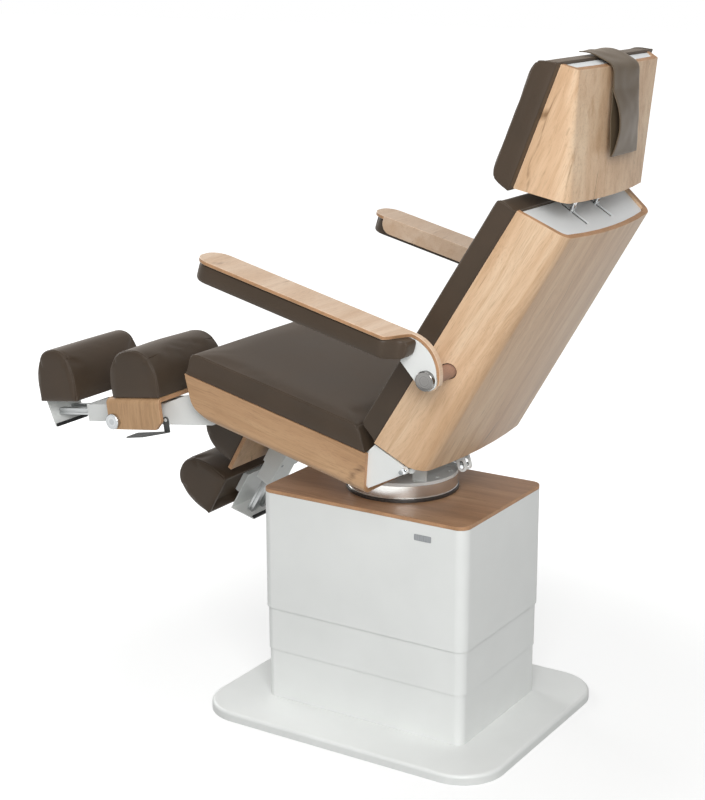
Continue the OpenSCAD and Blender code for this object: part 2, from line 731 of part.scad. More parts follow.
module back_frame() color("white") back_place() {
    difference() {
        translate([-seat_inner + ply, -back_front, back_foot_z + ply])
            cube([2 * seat_inner - 2 * ply, back_board_t, guide_z - back_foot_z - ply - side_gap]);
        translate([-carriage_w / 2 - ply, -back_front - over, guide_z - cap_notch_h])
            cube([carriage_w + 2 * ply, back_board_t + 2 * over, 2 * cap_notch_h]);
    }
    for (side = [-1, 1]) mirror([side < 0 ? 1 : 0, 0, 0]) {
        // lug on the recline bolt
        across(back_lug_x - hinge_inset + hinge_plate_t, back_lug_x - hinge_inset + 2 * hinge_plate_t) difference() {
            union() {
                circle(back_lug_r);
                polygon([[-back_lug_r, 0], [back_lug_r, 0], [back_lug_r, lug_l],
                    [-back_front + back_board_t / 2, 2 * lug_l], [-back_front + back_board_t / 2, lug_l]]);
            }
            circle(bolt_r + fit);
        }
        // crank with a slot for the pin of the recline rod
        across(crank_x, crank_x + crank_plate_t) rotate(back_lean - seat_tilt) difference() {
            union() {
                rotate(recline_swing / 2) translate([-crank_w / 2, -crank_l]) square([crank_w, crank_l]);
                rotate(recline_swing / 2) translate([0, -crank_l]) circle(crank_w / 2);
                circle(crank_w / 2);
                rotate(seat_tilt - back_lean) polygon([[0, -crank_w / 2], [crank_w / 2, crank_w / 2],
                    [-back_front + back_board_t / 2, 2 * lug_l], [-back_front + back_board_t / 2, lug_l]]);
            }
            rotate(recline_swing / 2) {
                translate([-crank_pin_r - crank_pin_gap, -crank_l]) square([2 * crank_pin_r + 2 * crank_pin_gap, crank_l - actuator_z + crank_pin_gap]);
                for (y = [actuator_z - crank_pin_gap, crank_l]) translate([0, -y]) circle(crank_pin_r + crank_pin_gap);
            }
        }
        // cheek that holds the headrest carriage
        across(carriage_w / 2 + side_gap, carriage_w / 2 + side_gap + hinge_plate_t) difference() {
            union() {
                translate([-carriage_y, carriage_z]) circle(carriage_d);
                translate([-back_front + back_board_t / 2, carriage_z - carriage_d])
                    square([back_front - back_board_t / 2 - carriage_y, 2 * carriage_d]);
            }
            translate([-carriage_y, carriage_z]) circle(axle_r + fit);
        }
        // block that carries the armrest's axle
        difference() {
            translate([back_lug_x - 3 * ply, -back_front + back_board_t / 2, arm_pivot_z - axle_boss_r])
                cube([2 * ply - over, back_front - arm_pivot_y + axle_boss_r, 2 * axle_boss_r]);
            bar_x(back_lug_x - 3 * ply - over, back_lug_x, axle_r + fit, -arm_pivot_y, arm_pivot_z);
        }
    }
}

arm_bracket_x = arm_inner_x + arm_ply;

module arm_axles() color("peru") back_place() for (side = [-1, 1]) mirror([side < 0 ? 1 : 0, 0, 0]) {
    bar_x(back_lug_x - 3 * ply, arm_bracket_x + arm_plate_t - rest_gap, axle_r, -arm_pivot_y, arm_pivot_z);
    bar_x(back_lug_x - ply, arm_inner_x - side_gap / 2, axle_boss_r, -arm_pivot_y, arm_pivot_z);
}

/* Headrest */

module head_carriage() color("dimgray") carriage_place() {
    difference() {
        translate([-carriage_w / 2, -carriage_d / 2, -carriage_h / 2]) cube([carriage_w, carriage_d, carriage_h]);
        for (side = [-1, 1]) translate([side * rod_half, 0, -carriage_h]) cylinder(h = 2 * carriage_h, r = rod_r + fit);
    }
    // trunnions in the cheeks of the back frame
    for (side = [-1, 1]) mirror([side < 0 ? 1 : 0, 0, 0])
        bar_x(carriage_w / 2 - 2 * over, carriage_w / 2 + 2 * hinge_plate_t, axle_r);
}

module head_rods() color("silver") carriage_place() {
    for (side = [-1, 1]) translate([side * rod_half, 0, -rod_foot_z])
        cylinder(h = rod_foot_z + head_foot_z + rod_top_z, r = rod_r);
    // mounting plate inside the headrest
    translate([-rod_half - 3 * rod_r, -head_front_y, head_foot_z + ply + over]) cube([2 * rod_half + 6 * rod_r, back_board_t, head_plate_l]);
    for (side = [-1, 1]) translate([side * rod_half - rod_r, -head_front_y + back_board_t / 2, head_foot_z + rod_top_z - 3 * rod_r])
        cube([2 * rod_r, head_front_y, 3 * rod_r]);
}

function head_rear_half(f) = head_rear_foot + (head_rear_top - head_rear_foot) * f;
function head_rear_y(f) = -head_front_y + head_depth_foot + (head_depth_top - head_depth_foot) * f;
function head_ring(f, wall, z, open) = shell_ring(head_half_w - wall, head_rear_half(f) - wall,
    -head_front_y - open, head_rear_y(f) - wall, (head_corner_r - wall) * (1 - f / 2), head_bow * (1.2 - f), z);

module head_solid(wall, z0, z1, open = 0) skin([for (k = [0 : 2]) let (z = z0 + (z1 - z0) * k / 2)
    head_ring((z - head_foot_z) / head_h, wall, z, open)]);

module head_shell() color("burlywood") carriage_place() difference() {
    head_solid(0, head_foot_z, head_foot_z + head_h);
    head_solid(ply, head_foot_z - over, head_foot_z + head_h + over, over);
    across(-seat_w, seat_w) polygon([[-head_front_y, head_foot_z - over], [head_depth_foot, head_foot_z - over],
        [head_depth_foot, head_foot_z + head_foot_rise * head_depth_foot / (head_depth_foot - head_front_y / 2)], [-head_front_y, head_foot_z]]);
}

module head_cap() color("gainsboro") carriage_place() {
    intersection() {
        head_solid(ply + side_gap / 2, head_foot_z - over, head_foot_z + head_h + over, over);
        translate([-seat_w, -head_front_y + side_gap, head_foot_z + head_h - cap_t - over]) cube([2 * seat_w, seat_w, cap_t]);
    }
    difference() {
        intersection() {
            head_solid(ply + side_gap / 2, head_foot_z - over, head_foot_z + head_h + over, over);
            translate([-seat_w, -head_front_y + side_gap, head_foot_z + 2 * head_foot_rise + cap_t])
                cube([2 * seat_w, seat_w, cap_t]);
        }
        for (side = [-1, 1]) translate([side * rod_half, 0, head_foot_z]) cylinder(h = rod_top_z, r = rod_r + rest_gap);
        translate([-rod_half - 4 * rod_r, -head_front_y - over, head_foot_z]) cube([2 * rod_half + 8 * rod_r, 2 * back_board_t, rod_top_z]);
    }
}

module head_cushion() color("dimgray") carriage_place() translate([0, -head_front_y - rest_gap, 0]) rotate([90, 0, 0])
    slab_pad(head_half_w + head_pad_flare, head_foot_z - head_pad_over, head_foot_z + head_h + head_pad_over, 0,
        head_pad_h - pad_crown / 2, 2 * head_pad_over, -2 * head_pad_over);

module head_strap() color("rosybrown") carriage_place() {
    top = head_foot_z + head_h + rest_gap;
    // front end on the cushion's sloping top, and the cushion's rear top edge
    lead = -head_front_y - head_pad_h + strap_lead;
    slope = 2 * head_pad_over / (head_pad_h - pad_crown / 2);
    crest = [-head_front_y, head_foot_z + head_h + head_pad_over + rest_gap];
    front = [lead, crest[1] - slope * (crest[0] - lead)];
    rear = -head_front_y + head_depth_top + strap_bend_r / 2;
    half_turn = (90 - strap_fall) / 2;
    // corners where the top run and the hanging run would meet, inside and outside of the bend
    corner = [for (r = [strap_bend_r, strap_bend_r + strap_t])
        [rear, top - strap_bend_r] + r / cos(half_turn) * [sin(half_turn), cos(half_turn)]];
    fall = strap_hang * [sin(strap_fall), -cos(strap_fall)];
    foot = [for (r = [strap_bend_r, strap_bend_r + strap_t])
        [rear, top - strap_bend_r] + r * [cos(strap_fall), sin(strap_fall)] + fall];
    across(-strap_w / 2, strap_w / 2)
        polygon(turned([front + [0, strap_t], front, crest, corner[0], foot[0], foot[1], corner[1], crest + [0, strap_t]],
            [0, 0, strap_bend_r, strap_bend_r, 0, 0, strap_bend_r + strap_t, strap_bend_r + strap_t]));
}

/* Armrests */

arm_sweep_y = 92;
arm_tail_y = 60;
arm_arc_drop = 2;
arm_nose_r = 42;
arm_strip_w = 16;
arm_web_y = 76;
arm_web_z = 18;
arm_pad_tail_y = 44;
arm_pad_tail_w = 46;
arm_pad_inset = 1.5;

// Share of the inward sweep at a place along the armrest
function arm_sweep(y) = y < -arm_sweep_y ? 0 : y > -arm_tail_y ? 1
    : (1 - cos(180 * (y + arm_sweep_y) / (arm_sweep_y - arm_tail_y))) / 2;

// Plan of the armrest: round nose, straight sides and an outer side that sweeps in to the narrow strip
arm_plan = concat(
    turned([[arm_inner_x, -arm_tail_y], [arm_inner_x, -arm_l], [arm_inner_x + arm_w, -arm_l], [arm_inner_x + arm_w, -arm_sweep_y]],
        [0, arm_nose_r, arm_nose_r, 0]),
    [for (k = [1 : 12]) let (y = -arm_sweep_y + (arm_sweep_y - arm_tail_y) * k / 12)
        [arm_inner_x + arm_w - (arm_w - arm_strip_w) * arm_sweep(y), y]]);

// Web round the pivot, inside the bent strip
module arm_web(inset) {
    circle(arm_hub_r - inset / 3);
    intersection() {
        translate([-arm_tail_y, -arm_arc_drop]) circle(arm_rise + arm_arc_drop - inset);
        polygon([[-arm_web_y, arm_rise - inset], [-arm_web_y, arm_web_z], [-arm_hub_r * 0.8, -arm_hub_r * 0.6],
            [arm_hub_r, 0], [arm_rise, 0], [arm_rise, arm_rise - inset]]);
    }
}

module arm_shell(side) color("burlywood") arm_place(side) {
    translate([0, 0, arm_rise - arm_ply]) linear_extrude(arm_ply) polygon(arm_plan);
    // strip bent down behind the bracket
    across(arm_inner_x, arm_inner_x + arm_strip_w) translate([-arm_tail_y, -arm_arc_drop]) intersection() {
        difference() {
            circle(arm_rise + arm_arc_drop);
            circle(arm_rise + arm_arc_drop - arm_ply);
            translate([arm_tail_y, arm_arc_drop]) circle(arm_hub_r);
        }
        square(arm_rise + arm_arc_drop);
    }
    // inner flange and its web
    difference() {
        across(arm_inner_x, arm_inner_x + arm_ply) {
            polygon(turned([[-arm_l + arm_nose_r, arm_rise - arm_ply / 2], [-arm_l + arm_nose_r, arm_rise - arm_flange_h],
                [-arm_web_y - arm_hub_r, arm_rise - arm_flange_h], [-arm_web_y, arm_web_z], [-arm_web_y + over, arm_rise - arm_ply / 2]],
                [0, arm_hub_r, arm_hub_r, 0, 0]));
            arm_web(0);
        }
        bar_x(arm_inner_x - over, arm_inner_x + arm_ply + over, axle_r + fit, 0, 0);
    }
}

// Stations of the pad: place between nose and tail, and how far the section is turned in there
arm_pad_stations = [[0, 0.5], [0.012, 0.26], [0.035, 0.1], [0.07, 0.02], [0.3, 0], [0.76, 0], [0.86, 0], [0.916, 0],
    [0.936, 0], [0.955, 0], [0.974, 0.02], [0.99, 0.12], [1, 0.3]];

module arm_pad(side) color("dimgray") arm_place(side) skin([for (s = arm_pad_stations)
    let (y = -arm_l + arm_pad_inset + (arm_l - arm_pad_inset - arm_pad_tail_y) * s[0],
         in_x = arm_bracket_x + rest_gap + (y > -arm_web_y - 2 * arm_hub_r ? arm_plate_t : 0),
         out_x = arm_inner_x + arm_w - arm_pad_inset - (arm_w - arm_ply - arm_plate_t - arm_pad_tail_w) * arm_sweep(y),
         mid = (in_x + out_x) / 2, half = (out_x - in_x) / 2 * (1 - s[1] * 0.8), h = arm_pad_h * (1 - s[1] * 0.5))
    [for (p = pad_ring(y, half, arm_rise - arm_ply - rest_gap - h, h, 0, 0.3, 28)) [p[0] + mid, p[1], p[2]]]]);

module arm_bracket(side) color("white") arm_place(side) difference() {
    across(arm_bracket_x, arm_bracket_x + arm_plate_t) arm_web(arm_ply + side_gap);
    bar_x(arm_bracket_x - over, arm_bracket_x + arm_plate_t + over, axle_r + fit);
}

module arm_cap(side) color("silver") arm_place(side) translate([arm_bracket_x + arm_plate_t, 0, 0]) rotate([0, 90, 0])
    rotate_extrude() polygon([[0, 0], [arm_cap_r - side_gap, 0], [arm_cap_r, side_gap], [arm_cap_r, arm_cap_h - 2 * side_gap],
        [arm_cap_r - 2 * side_gap, arm_cap_h], [arm_cap_r / 3, arm_cap_h - 3 * side_gap], [0, arm_cap_h - 3 * side_gap]]);

/* Leg rests */

leg_outer_x = seat_w / 2 + leg_lip;
arm_x1 = leg_arm_x + leg_arm_w;
housing_top_t = housing_foot_t - leg_arm_h;

module leg_arm(side) color("white") leg_place(side) {
    // pin of the release lever
    bar_x(arm_x1 - over, lever_x + lever_t, knob_pin_r, -lever_s0, -lever_pivot_t);
    difference() {
        across(leg_arm_x, arm_x1) union() {
            polygon(turned([[-housing_end_s, -housing_top_t], [-housing_end_s, -housing_foot_t],
                [-leg_hub_r, -housing_foot_t], [leg_hub_r, -leg_hub_r], [leg_hub_r, 0], [0, leg_hub_r],
                [-5 * leg_hub_r, -leg_hub_r / 3], [-10 * leg_hub_r, -housing_top_t]],
                [0, 0, 2 * leg_hub_r, leg_hub_r / 2, 0, 0, 3 * leg_hub_r, 3 * leg_hub_r]));
            circle(leg_hub_r);
        }
        bar_x(leg_arm_x - over, arm_x1 + over, leg_shaft_r + fit);
        // bore of the sliding box
        translate([leg_arm_x + housing_wall, -housing_end_s - over, -housing_foot_t + housing_wall])
            cube([leg_arm_w - 2 * housing_wall, housing_end_s + over - bore_end_s, leg_arm_h - 2 * housing_wall]);
    }
}

calf_inner_x = leg_outer_x - flap_setin;

// Bent shell under the calf roll: a plate with a turned-down outer flap
module calf_section() {
    r = ply + side_gap * 4;
    difference() {
        union() {
            translate([leg_inner_x, -calf_t - ply]) square([calf_inner_x + ply - leg_inner_x - r, ply]);
            translate([calf_inner_x + ply - r, -calf_t - r]) circle(r);
            translate([calf_inner_x, -flap_foot_t]) square([ply, flap_foot_t - calf_t - r]);
        }
        translate([calf_inner_x + ply - r, -calf_t - r]) circle(r - ply);
        translate([leg_inner_x - over, -flap_foot_t - over]) square([calf_inner_x - leg_inner_x + over, flap_foot_t + over - calf_t - ply]);
    }
}

module calf_shell(side) color("burlywood") leg_place(side) {
    difference() {
        translate([0, -flap_rear_s, 0]) rotate([90, 0, 0]) linear_extrude(flap_front_s - flap_rear_s) calf_section();
        // corners of the flap and of the plate
        across(calf_inner_x - over, calf_inner_x + ply + over) difference() {
            translate([-flap_front_s - over, -flap_foot_t - over]) square([flap_front_s - flap_rear_s + 2 * over, flap_foot_t]);
            polygon(turned([[-flap_front_s, over], [-flap_front_s, -flap_foot_t], [-flap_rear_s - knob_r, -flap_foot_t],
                [-flap_rear_s, -flap_foot_t + knob_r], [-flap_rear_s, over]], [0, knob_r, 0, knob_r / 2, 0]));
        }
        bar_x(calf_inner_x - over, calf_inner_x + ply + over, knob_pin_r + fit, -knob_s, -knob_t);
    }
    // pads that carry the plate on the arm
    for (s = [flap_rear_s + 5 * ply, flap_front_s - 6 * ply]) translate([leg_arm_x + ply, -s - 2 * ply, -housing_top_t])
        cube([leg_arm_w - 2 * ply, 2 * ply, housing_top_t - calf_t - ply / 2]);
}

// Section of a roll in s and t: width, height, lean of its top and depth of the hollow beneath
function roll_section(w, h, hollow, n = 22) = concat(
    [for (k = [0 : n]) let (a = 180 * k / n) [w / 2 * boxy(cos(a), 0.82), h * 0.3 + h * 0.7 * boxy(sin(a), 0.85)]],
    [[-w * 0.49, h * 0.06], [-w * 0.46, 0], [-w * 0.38, 0], [-w * 0.36, hollow], [w * 0.36, hollow], [w * 0.38, 0], [w * 0.46, 0], [w * 0.49, h * 0.06]]);

roll_round = 9;

module roll(s0, s1, t0, h, hollow) {
    w = s1 - s0;
    section = roll_section(w, h, hollow);
    skin([for (e = [[0, 1], [0.2, 0.5], [0.6, 0.15], [1, 0], [-1, 0], [-0.6, 0.15], [-0.2, 0.5], [0, -1]])
        let (tail = e[0] < 0 || e[1] < 0, x = tail ? leg_outer_x + roll_round * e[0] : leg_inner_x + roll_round * e[0],
             k = 1 - roll_round * abs(e[1]) / h)
        [for (p = section) [x, -(s0 + s1) / 2 + p[0] * k, -t0 + rest_gap + p[1] * k]]]);
}

module calf_roll(side) color("dimgray") leg_place(side) roll(calf_s0, calf_s1, calf_t, calf_roll_h, 0);

module leg_knob(side) color("silver") leg_place(side) translate([calf_inner_x + ply + side_gap / 2, -knob_s, -knob_t]) rotate([0, 90, 0]) {
    rotate_extrude() polygon([[0, 0], [knob_r - side_gap, 0], [knob_r, side_gap], [knob_r, knob_h - 2 * side_gap],
        [knob_r - 2 * side_gap, knob_h], [knob_pin_r, knob_h - side_gap], [0, knob_h - side_gap]]);
    translate([0, 0, -ply - side_gap]) cylinder(h = ply + side_gap, r = knob_pin_r);
}

lever_x = leg_arm_x + leg_arm_w + side_gap;

module leg_lever(side) color("dimgray") leg_place(side) translate([lever_x, -lever_s0, -lever_pivot_t]) {
    across(0, lever_t) difference() {
        union() {
            circle(leg_shaft_r);
            translate([-leg_shaft_r, -lever_drop - lever_t / 2]) square([2 * leg_shaft_r, lever_drop + lever_t / 2]);
        }
        circle(knob_pin_r + fit);
    }
    // paddle
    translate([0, 0, -lever_drop]) rotate([lever_dip, 0, 0]) translate([0, 0, -lever_t / 2]) linear_extrude(lever_t)
        polygon(turned([[0, leg_shaft_r], [leg_shaft_r, leg_shaft_r], [lever_w, -lever_neck_l], [lever_w, -lever_l], [0, -lever_l]],
            [0, leg_shaft_r / 2, leg_shaft_r, leg_shaft_r / 2, leg_shaft_r / 2]));
}

module slide_box(side) color("white") slide_place(side) difference() {
    translate([leg_arm_x + housing_wall + rest_gap, -slide_home_s, -housing_foot_t + housing_wall + rest_gap])
        cube([leg_arm_w - 2 * housing_wall - 2 * rest_gap, slide_tail, leg_arm_h - 2 * housing_wall - 2 * rest_gap]);
    for (side2 = [0, 1]) translate([leg_arm_x + leg_arm_w / 2 + (side2 * 2 - 1) * leg_arm_w / 4 - rail_h2, -slide_home_s - over, -housing_foot_t + leg_arm_h / 2 - rail_h2])
        cube([2 * rail_h2, slide_tail + 2 * over, 2 * rail_h2]);
}

module slide_rails(side) color("silver") slide_place(side)
    for (side2 = [0, 1]) translate([leg_arm_x + leg_arm_w / 2 + (side2 * 2 - 1) * leg_arm_w / 4, -rail_s - slide_home_s, -housing_foot_t + leg_arm_h / 2]) rotate([-90, 0, 0])
        linear_extrude(slide_tail + rail_s) difference() {
            square([2 * rail_h2, 2 * rail_h2], center = true);
            for (k = [-1, 1]) translate([k * rail_h2, 0]) square([rail_h2 / 2, rail_h2 / 2], center = true);
        }

module foot_plate(side) color("white") slide_place(side) {
    top = -foot_t - plate_sheet;
    across(leg_arm_x - ply, arm_x1 + ply) polygon([[-plate_top_s, top], [-plate_foot_s, -plate_foot_t],
        [-plate_foot_s + plate_sheet, -plate_foot_t], [-plate_top_s + plate_sheet, top]]);
    // flange under the foot roll and the block that fills the roll's hollow
    translate([leg_arm_x - ply, -plate_top_s, top]) cube([leg_arm_w + 2 * ply, plate_top_s - foot_s0 - 2 * ply, plate_sheet]);
    translate([leg_arm_x, -(foot_s0 + foot_s1) / 2 - leg_arm_w / 3, top]) cube([leg_arm_w, 2 * leg_arm_w / 3, foot_hollow + plate_sheet - rest_gap]);
}

module grip_strip(side) color("black") slide_place(side)
    translate([leg_arm_x - ply, -plate_foot_s + plate_sheet, -plate_foot_t]) cube([leg_arm_w + 2 * ply, strip_t, strip_h]);

module foot_roll(side) color("dimgray") slide_place(side) roll(foot_s0, foot_s1, foot_t, foot_roll_h, foot_hollow);

base_plate();
lower_shroud();
lift_outer_tube();
lift_motor();
middle_shroud();
lift_middle_tube();
lift_middle_spindle();
upper_shroud();
top_board();
lift_inner_tube();
lift_rod();
swivel_base();
swivel_ring();
turntable_plate();
seat_shell();
seat_frame();
seat_end_plate();
seat_cushion();
hinge_pins();
recline_motor();
recline_rod();
back_shell();
back_cap();
back_cushion();
back_frame();
arm_axles();
head_carriage();
head_rods();
head_shell();
head_cap();
head_cushion();
head_strap();
arm_shell(1);  // arm_shell_left
arm_pad(1);  // arm_pad_left
arm_bracket(1);  // arm_bracket_left
arm_cap(1);  // arm_cap_left
arm_shell(-1);  // arm_shell_right
arm_pad(-1);  // arm_pad_right
arm_bracket(-1);  // arm_bracket_right
arm_cap(-1);  // arm_cap_right
leg_arm(1);  // leg_arm_left
calf_shell(1);  // calf_shell_left
calf_roll(1);  // calf_roll_left
leg_knob(1);  // leg_knob_left
leg_lever(1);  // leg_lever_left
slide_box(1);  // slide_box_left
slide_rails(1);  // slide_rails_left
foot_plate(1);  // foot_plate_left
grip_strip(1);  // grip_strip_left
foot_roll(1);  // foot_roll_left
leg_arm(-1);  // leg_arm_right
calf_shell(-1);  // calf_shell_right
calf_roll(-1);  // calf_roll_right
leg_knob(-1);  // leg_knob_right
leg_lever(-1);  // leg_lever_right
slide_box(-1);  // slide_box_right
slide_rails(-1);  // slide_rails_right
foot_plate(-1);  // foot_plate_right
grip_strip(-1);  // grip_strip_right
foot_roll(-1);  // foot_roll_right
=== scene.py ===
import json
import math

import bmesh
import bpy
import numpy as np
from mathutils import Matrix, Vector, noise

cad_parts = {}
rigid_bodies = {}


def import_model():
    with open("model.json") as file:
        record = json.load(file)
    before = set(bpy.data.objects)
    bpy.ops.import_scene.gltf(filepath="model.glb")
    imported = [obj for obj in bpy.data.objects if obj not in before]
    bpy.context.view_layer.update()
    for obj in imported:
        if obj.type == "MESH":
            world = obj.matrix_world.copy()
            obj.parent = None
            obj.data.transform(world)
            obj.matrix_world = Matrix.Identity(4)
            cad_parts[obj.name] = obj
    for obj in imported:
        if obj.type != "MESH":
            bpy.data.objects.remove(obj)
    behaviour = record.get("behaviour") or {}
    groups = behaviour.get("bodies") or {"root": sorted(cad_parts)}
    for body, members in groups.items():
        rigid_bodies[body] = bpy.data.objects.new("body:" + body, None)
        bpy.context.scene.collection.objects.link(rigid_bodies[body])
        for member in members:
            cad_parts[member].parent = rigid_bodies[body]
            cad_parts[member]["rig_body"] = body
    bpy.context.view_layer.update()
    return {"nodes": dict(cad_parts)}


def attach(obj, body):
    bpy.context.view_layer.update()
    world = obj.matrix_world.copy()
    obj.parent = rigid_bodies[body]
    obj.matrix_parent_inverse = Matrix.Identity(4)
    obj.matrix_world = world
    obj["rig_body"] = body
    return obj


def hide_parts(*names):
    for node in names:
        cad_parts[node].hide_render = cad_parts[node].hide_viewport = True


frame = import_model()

scene = bpy.context.scene
scene.view_settings.view_transform = "Standard"
print("chair: frame loaded with", len(frame["nodes"]), "solids")


# colours are typed as sRGB hex and used as linear light
def linear(hexColour):
    parts = [int(hexColour[k:k + 2], 16) / 255 for k in (0, 2, 4)]
    return tuple(c / 12.92 if c <= 0.04045 else ((c + 0.055) / 1.055) ** 2.4 for c in parts) + (1,)


def addNode(tree, kind, links=None, stops=None, **settings):
    node = tree.nodes.new("ShaderNode" + kind)
    for name, value in settings.items():
        setattr(node, name, value)
    if stops:
        ramp = node.color_ramp.elements
        while len(ramp) > 1:
            ramp.remove(ramp[-1])
        for position, value in stops:
            spot = ramp[0] if position == stops[0][0] else ramp.new(position)
            spot.position = position
            spot.color = linear(value) if isinstance(value, str) else (value, value, value, 1)
    for name, value in (links or {}).items():
        if isinstance(value, bpy.types.NodeSocket):
            tree.links.new(value, node.inputs[name])
        else:
            node.inputs[name].default_value = value
    return node


def newMaterial(name, **surface):
    material = bpy.data.materials.new(name)
    material.use_nodes = True
    tree = material.node_tree
    shader = tree.nodes["Principled BSDF"]
    for socket, value in surface.items():
        shader.inputs[socket.replace("_", " ")].default_value = value
    spot = addNode(tree, "TexCoord").outputs["Object"]
    return material, tree, shader, spot


# a pattern's repeat in millimetres along x, y and z, as a mapping scale
def perMm(*size):
    return tuple(1000 / s if s else 0 for s in size)


def bumpTo(tree, shader, height, distance, strength=1.0):
    bump = addNode(tree, "Bump", {"Height": height, "Distance": distance, "Strength": strength})
    tree.links.new(bump.outputs[0], shader.inputs["Normal"])


# the chair's own frames, the same places and angles as the solids have (metres, degrees)
chair = {
    "recline": (0, 0.165, 0.743), "seatTilt": 13, "backLean": 32,
    "carriage": (0, -0.0143, 0.460), "headTilt": 10.5,
    "arm": (0, -0.041, 0.281), "armPitch": 13.8,
    "leg": (0, -0.5815, -0.0245), "legDrop": {"left": 20.7, "right": 73.4},
    "slide": {"left": 0.110, "right": 0.038},
}


def place(at, turn=0, under=Matrix()):
    return under @ Matrix.Translation(at) @ Matrix.Rotation(math.radians(turn), 4, "X")


mirrored = Matrix.Scale(-1, 4, (1, 0, 0))
sides = {"left": Matrix(), "right": mirrored}
seatPlace = place(chair["recline"], -chair["seatTilt"])
backPlace = place(chair["recline"], -chair["backLean"])
headPlace = place(chair["carriage"], chair["headTilt"], backPlace)
armTurn = chair["backLean"] - chair["armPitch"]
armPlace = {side: sides[side] @ place(chair["arm"], armTurn, backPlace) for side in sides}
legPlace = {side: sides[side] @ place(chair["leg"], chair["legDrop"][side], seatPlace) for side in sides}
slidePlace = {side: legPlace[side] @ Matrix.Translation((0, -chair["slide"][side], 0)) for side in sides}


# Camera: where the photograph was taken from
camera = {"azimuth": 122.471, "elevation": 15.253, "roll": -0.179, "at": (3.61239, 2.14581, 1.97769), "lens": 76.80}


def setCamera(look):
    a, e, r = (math.radians(look[k]) for k in ("azimuth", "elevation", "roll"))
    back = Vector((math.sin(a) * math.cos(e), -math.cos(a) * math.cos(e), math.sin(e)))
    right = (-back).cross(Vector((0, 0, 1))).normalized()
    up = right.cross(-back)
    right, up = math.cos(r) * right + math.sin(r) * up, math.cos(r) * up - math.sin(r) * right
    data = bpy.data.cameras.new("viewCamera")
    data.lens, data.sensor_width, data.sensor_fit = look["lens"], 36, "AUTO"
    data.clip_start, data.clip_end = 0.1, 60
    view = bpy.data.objects.new("viewCamera", data)
    view.matrix_world = Matrix.Translation(look["at"]) @ Matrix((right, up, back)).transposed().to_4x4()
    scene.collection.objects.link(view)
    scene.camera = view


setCamera(camera)


# Studio: large soft boxes, a pale floor and a white surround
studio = {
    "boxes": {  # place, what it looks at, width, height, watts
        "keyBox": ((3.4, 2.3, 2.9), (0.0, 0.1, 0.75), 2.4, 2.2, 160),
        "topBox": ((0.9, -0.2, 4.0), (0.0, 0.1, 0.5), 3.0, 3.0, 30),
        "frontBox": ((-1.2, -4.0, 2.5), (0.0, -0.1, 0.8), 2.2, 2.2, 70),
    },
    "surround": 0.25, "glossySurround": 0.6,  # how bright the surround is for the object, and in its reflections
    "floorColour": "9c9d9c", "floorCloud": "a9aaa9", "floorSize": 60,
    "floorLift": (0.65, 1.0), "liftFrom": 0.7, "liftTo": 2.0,  # what the camera sees on top of the lit floor
}


def setStudio(look):
    for name, (at, target, width, height, watts) in look["boxes"].items():
        lamp = bpy.data.lights.new(name, "AREA")
        lamp.shape, lamp.size, lamp.size_y, lamp.energy = "RECTANGLE", width, height, watts
        box = bpy.data.objects.new(name, lamp)
        box.location = at
        box.rotation_euler = (Vector(target) - Vector(at)).to_track_quat("-Z", "Y").to_euler()
        scene.collection.objects.link(box)
    world = bpy.data.worlds.new("surround")
    scene.world = world
    world.use_nodes = True
    tree = world.node_tree
    background = tree.nodes["Background"]
    background.inputs["Color"].default_value = linear("ffffff")
    rays = addNode(tree, "LightPath")
    looks = {0: rays.outputs["Is Camera Ray"], 1: rays.outputs["Is Transmission Ray"]}
    seen = addNode(tree, "Math", looks, operation="MAXIMUM")
    mirror = {0: rays.outputs["Is Glossy Ray"], 1: look["glossySurround"]}
    shine = addNode(tree, "Math", mirror, operation="MULTIPLY")
    glossy = addNode(tree, "Math", {0: seen.outputs[0], 1: shine.outputs[0]}, operation="MAXIMUM")
    strength = addNode(tree, "MapRange", {"Value": glossy.outputs[0], "To Min": look["surround"], "To Max": 1.0})
    tree.links.new(strength.outputs[0], background.inputs["Strength"])

    half = look["floorSize"] / 2
    mesh = bpy.data.meshes.new("studioFloor")
    mesh.from_pydata([(-half, -half, 0), (half, -half, 0), (half, half, 0), (-half, half, 0)], [], [(0, 1, 2, 3)])
    floor = bpy.data.objects.new("studioFloor", mesh)
    scene.collection.objects.link(floor)
    # matt painted studio floor: even and pale, seen a little brighter than it is so that it meets the surround
    material, tree, shader, spot = newMaterial("mattFloorPaint", Roughness=0.9)
    cloud = addNode(tree, "TexNoise", {"Vector": spot, "Scale": 0.8, "Detail": 2})
    coats = {0: cloud.outputs[0], 6: linear(look["floorColour"]), 7: linear(look["floorCloud"])}
    tone = addNode(tree, "Mix", coats, data_type="RGBA")
    tree.links.new(tone.outputs[2], shader.inputs["Base Color"])
    rays = addNode(tree, "LightPath")
    looks = {0: rays.outputs["Is Camera Ray"], 1: rays.outputs["Is Glossy Ray"]}
    shine = addNode(tree, "Math", looks, operation="MAXIMUM")
    away = addNode(tree, "VectorMath", {0: spot}, operation="LENGTH")
    least, most = look["floorLift"]
    reach = {"Value": away.outputs["Value"], "From Min": look["liftFrom"], "From Max": look["liftTo"],
             "To Min": least, "To Max": most}
    rise = addNode(tree, "MapRange", reach, interpolation_type="SMOOTHSTEP")
    lift = addNode(tree, "Math", {0: shine.outputs[0], 1: rise.outputs[0]}, operation="MULTIPLY")
    shader.inputs["Emission Color"].default_value = linear("ffffff")
    tree.links.new(lift.outputs[0], shader.inputs["Emission Strength"])
    mesh.materials.append(material)


setStudio(studio)
print("chair: camera and studio")


# Finishes

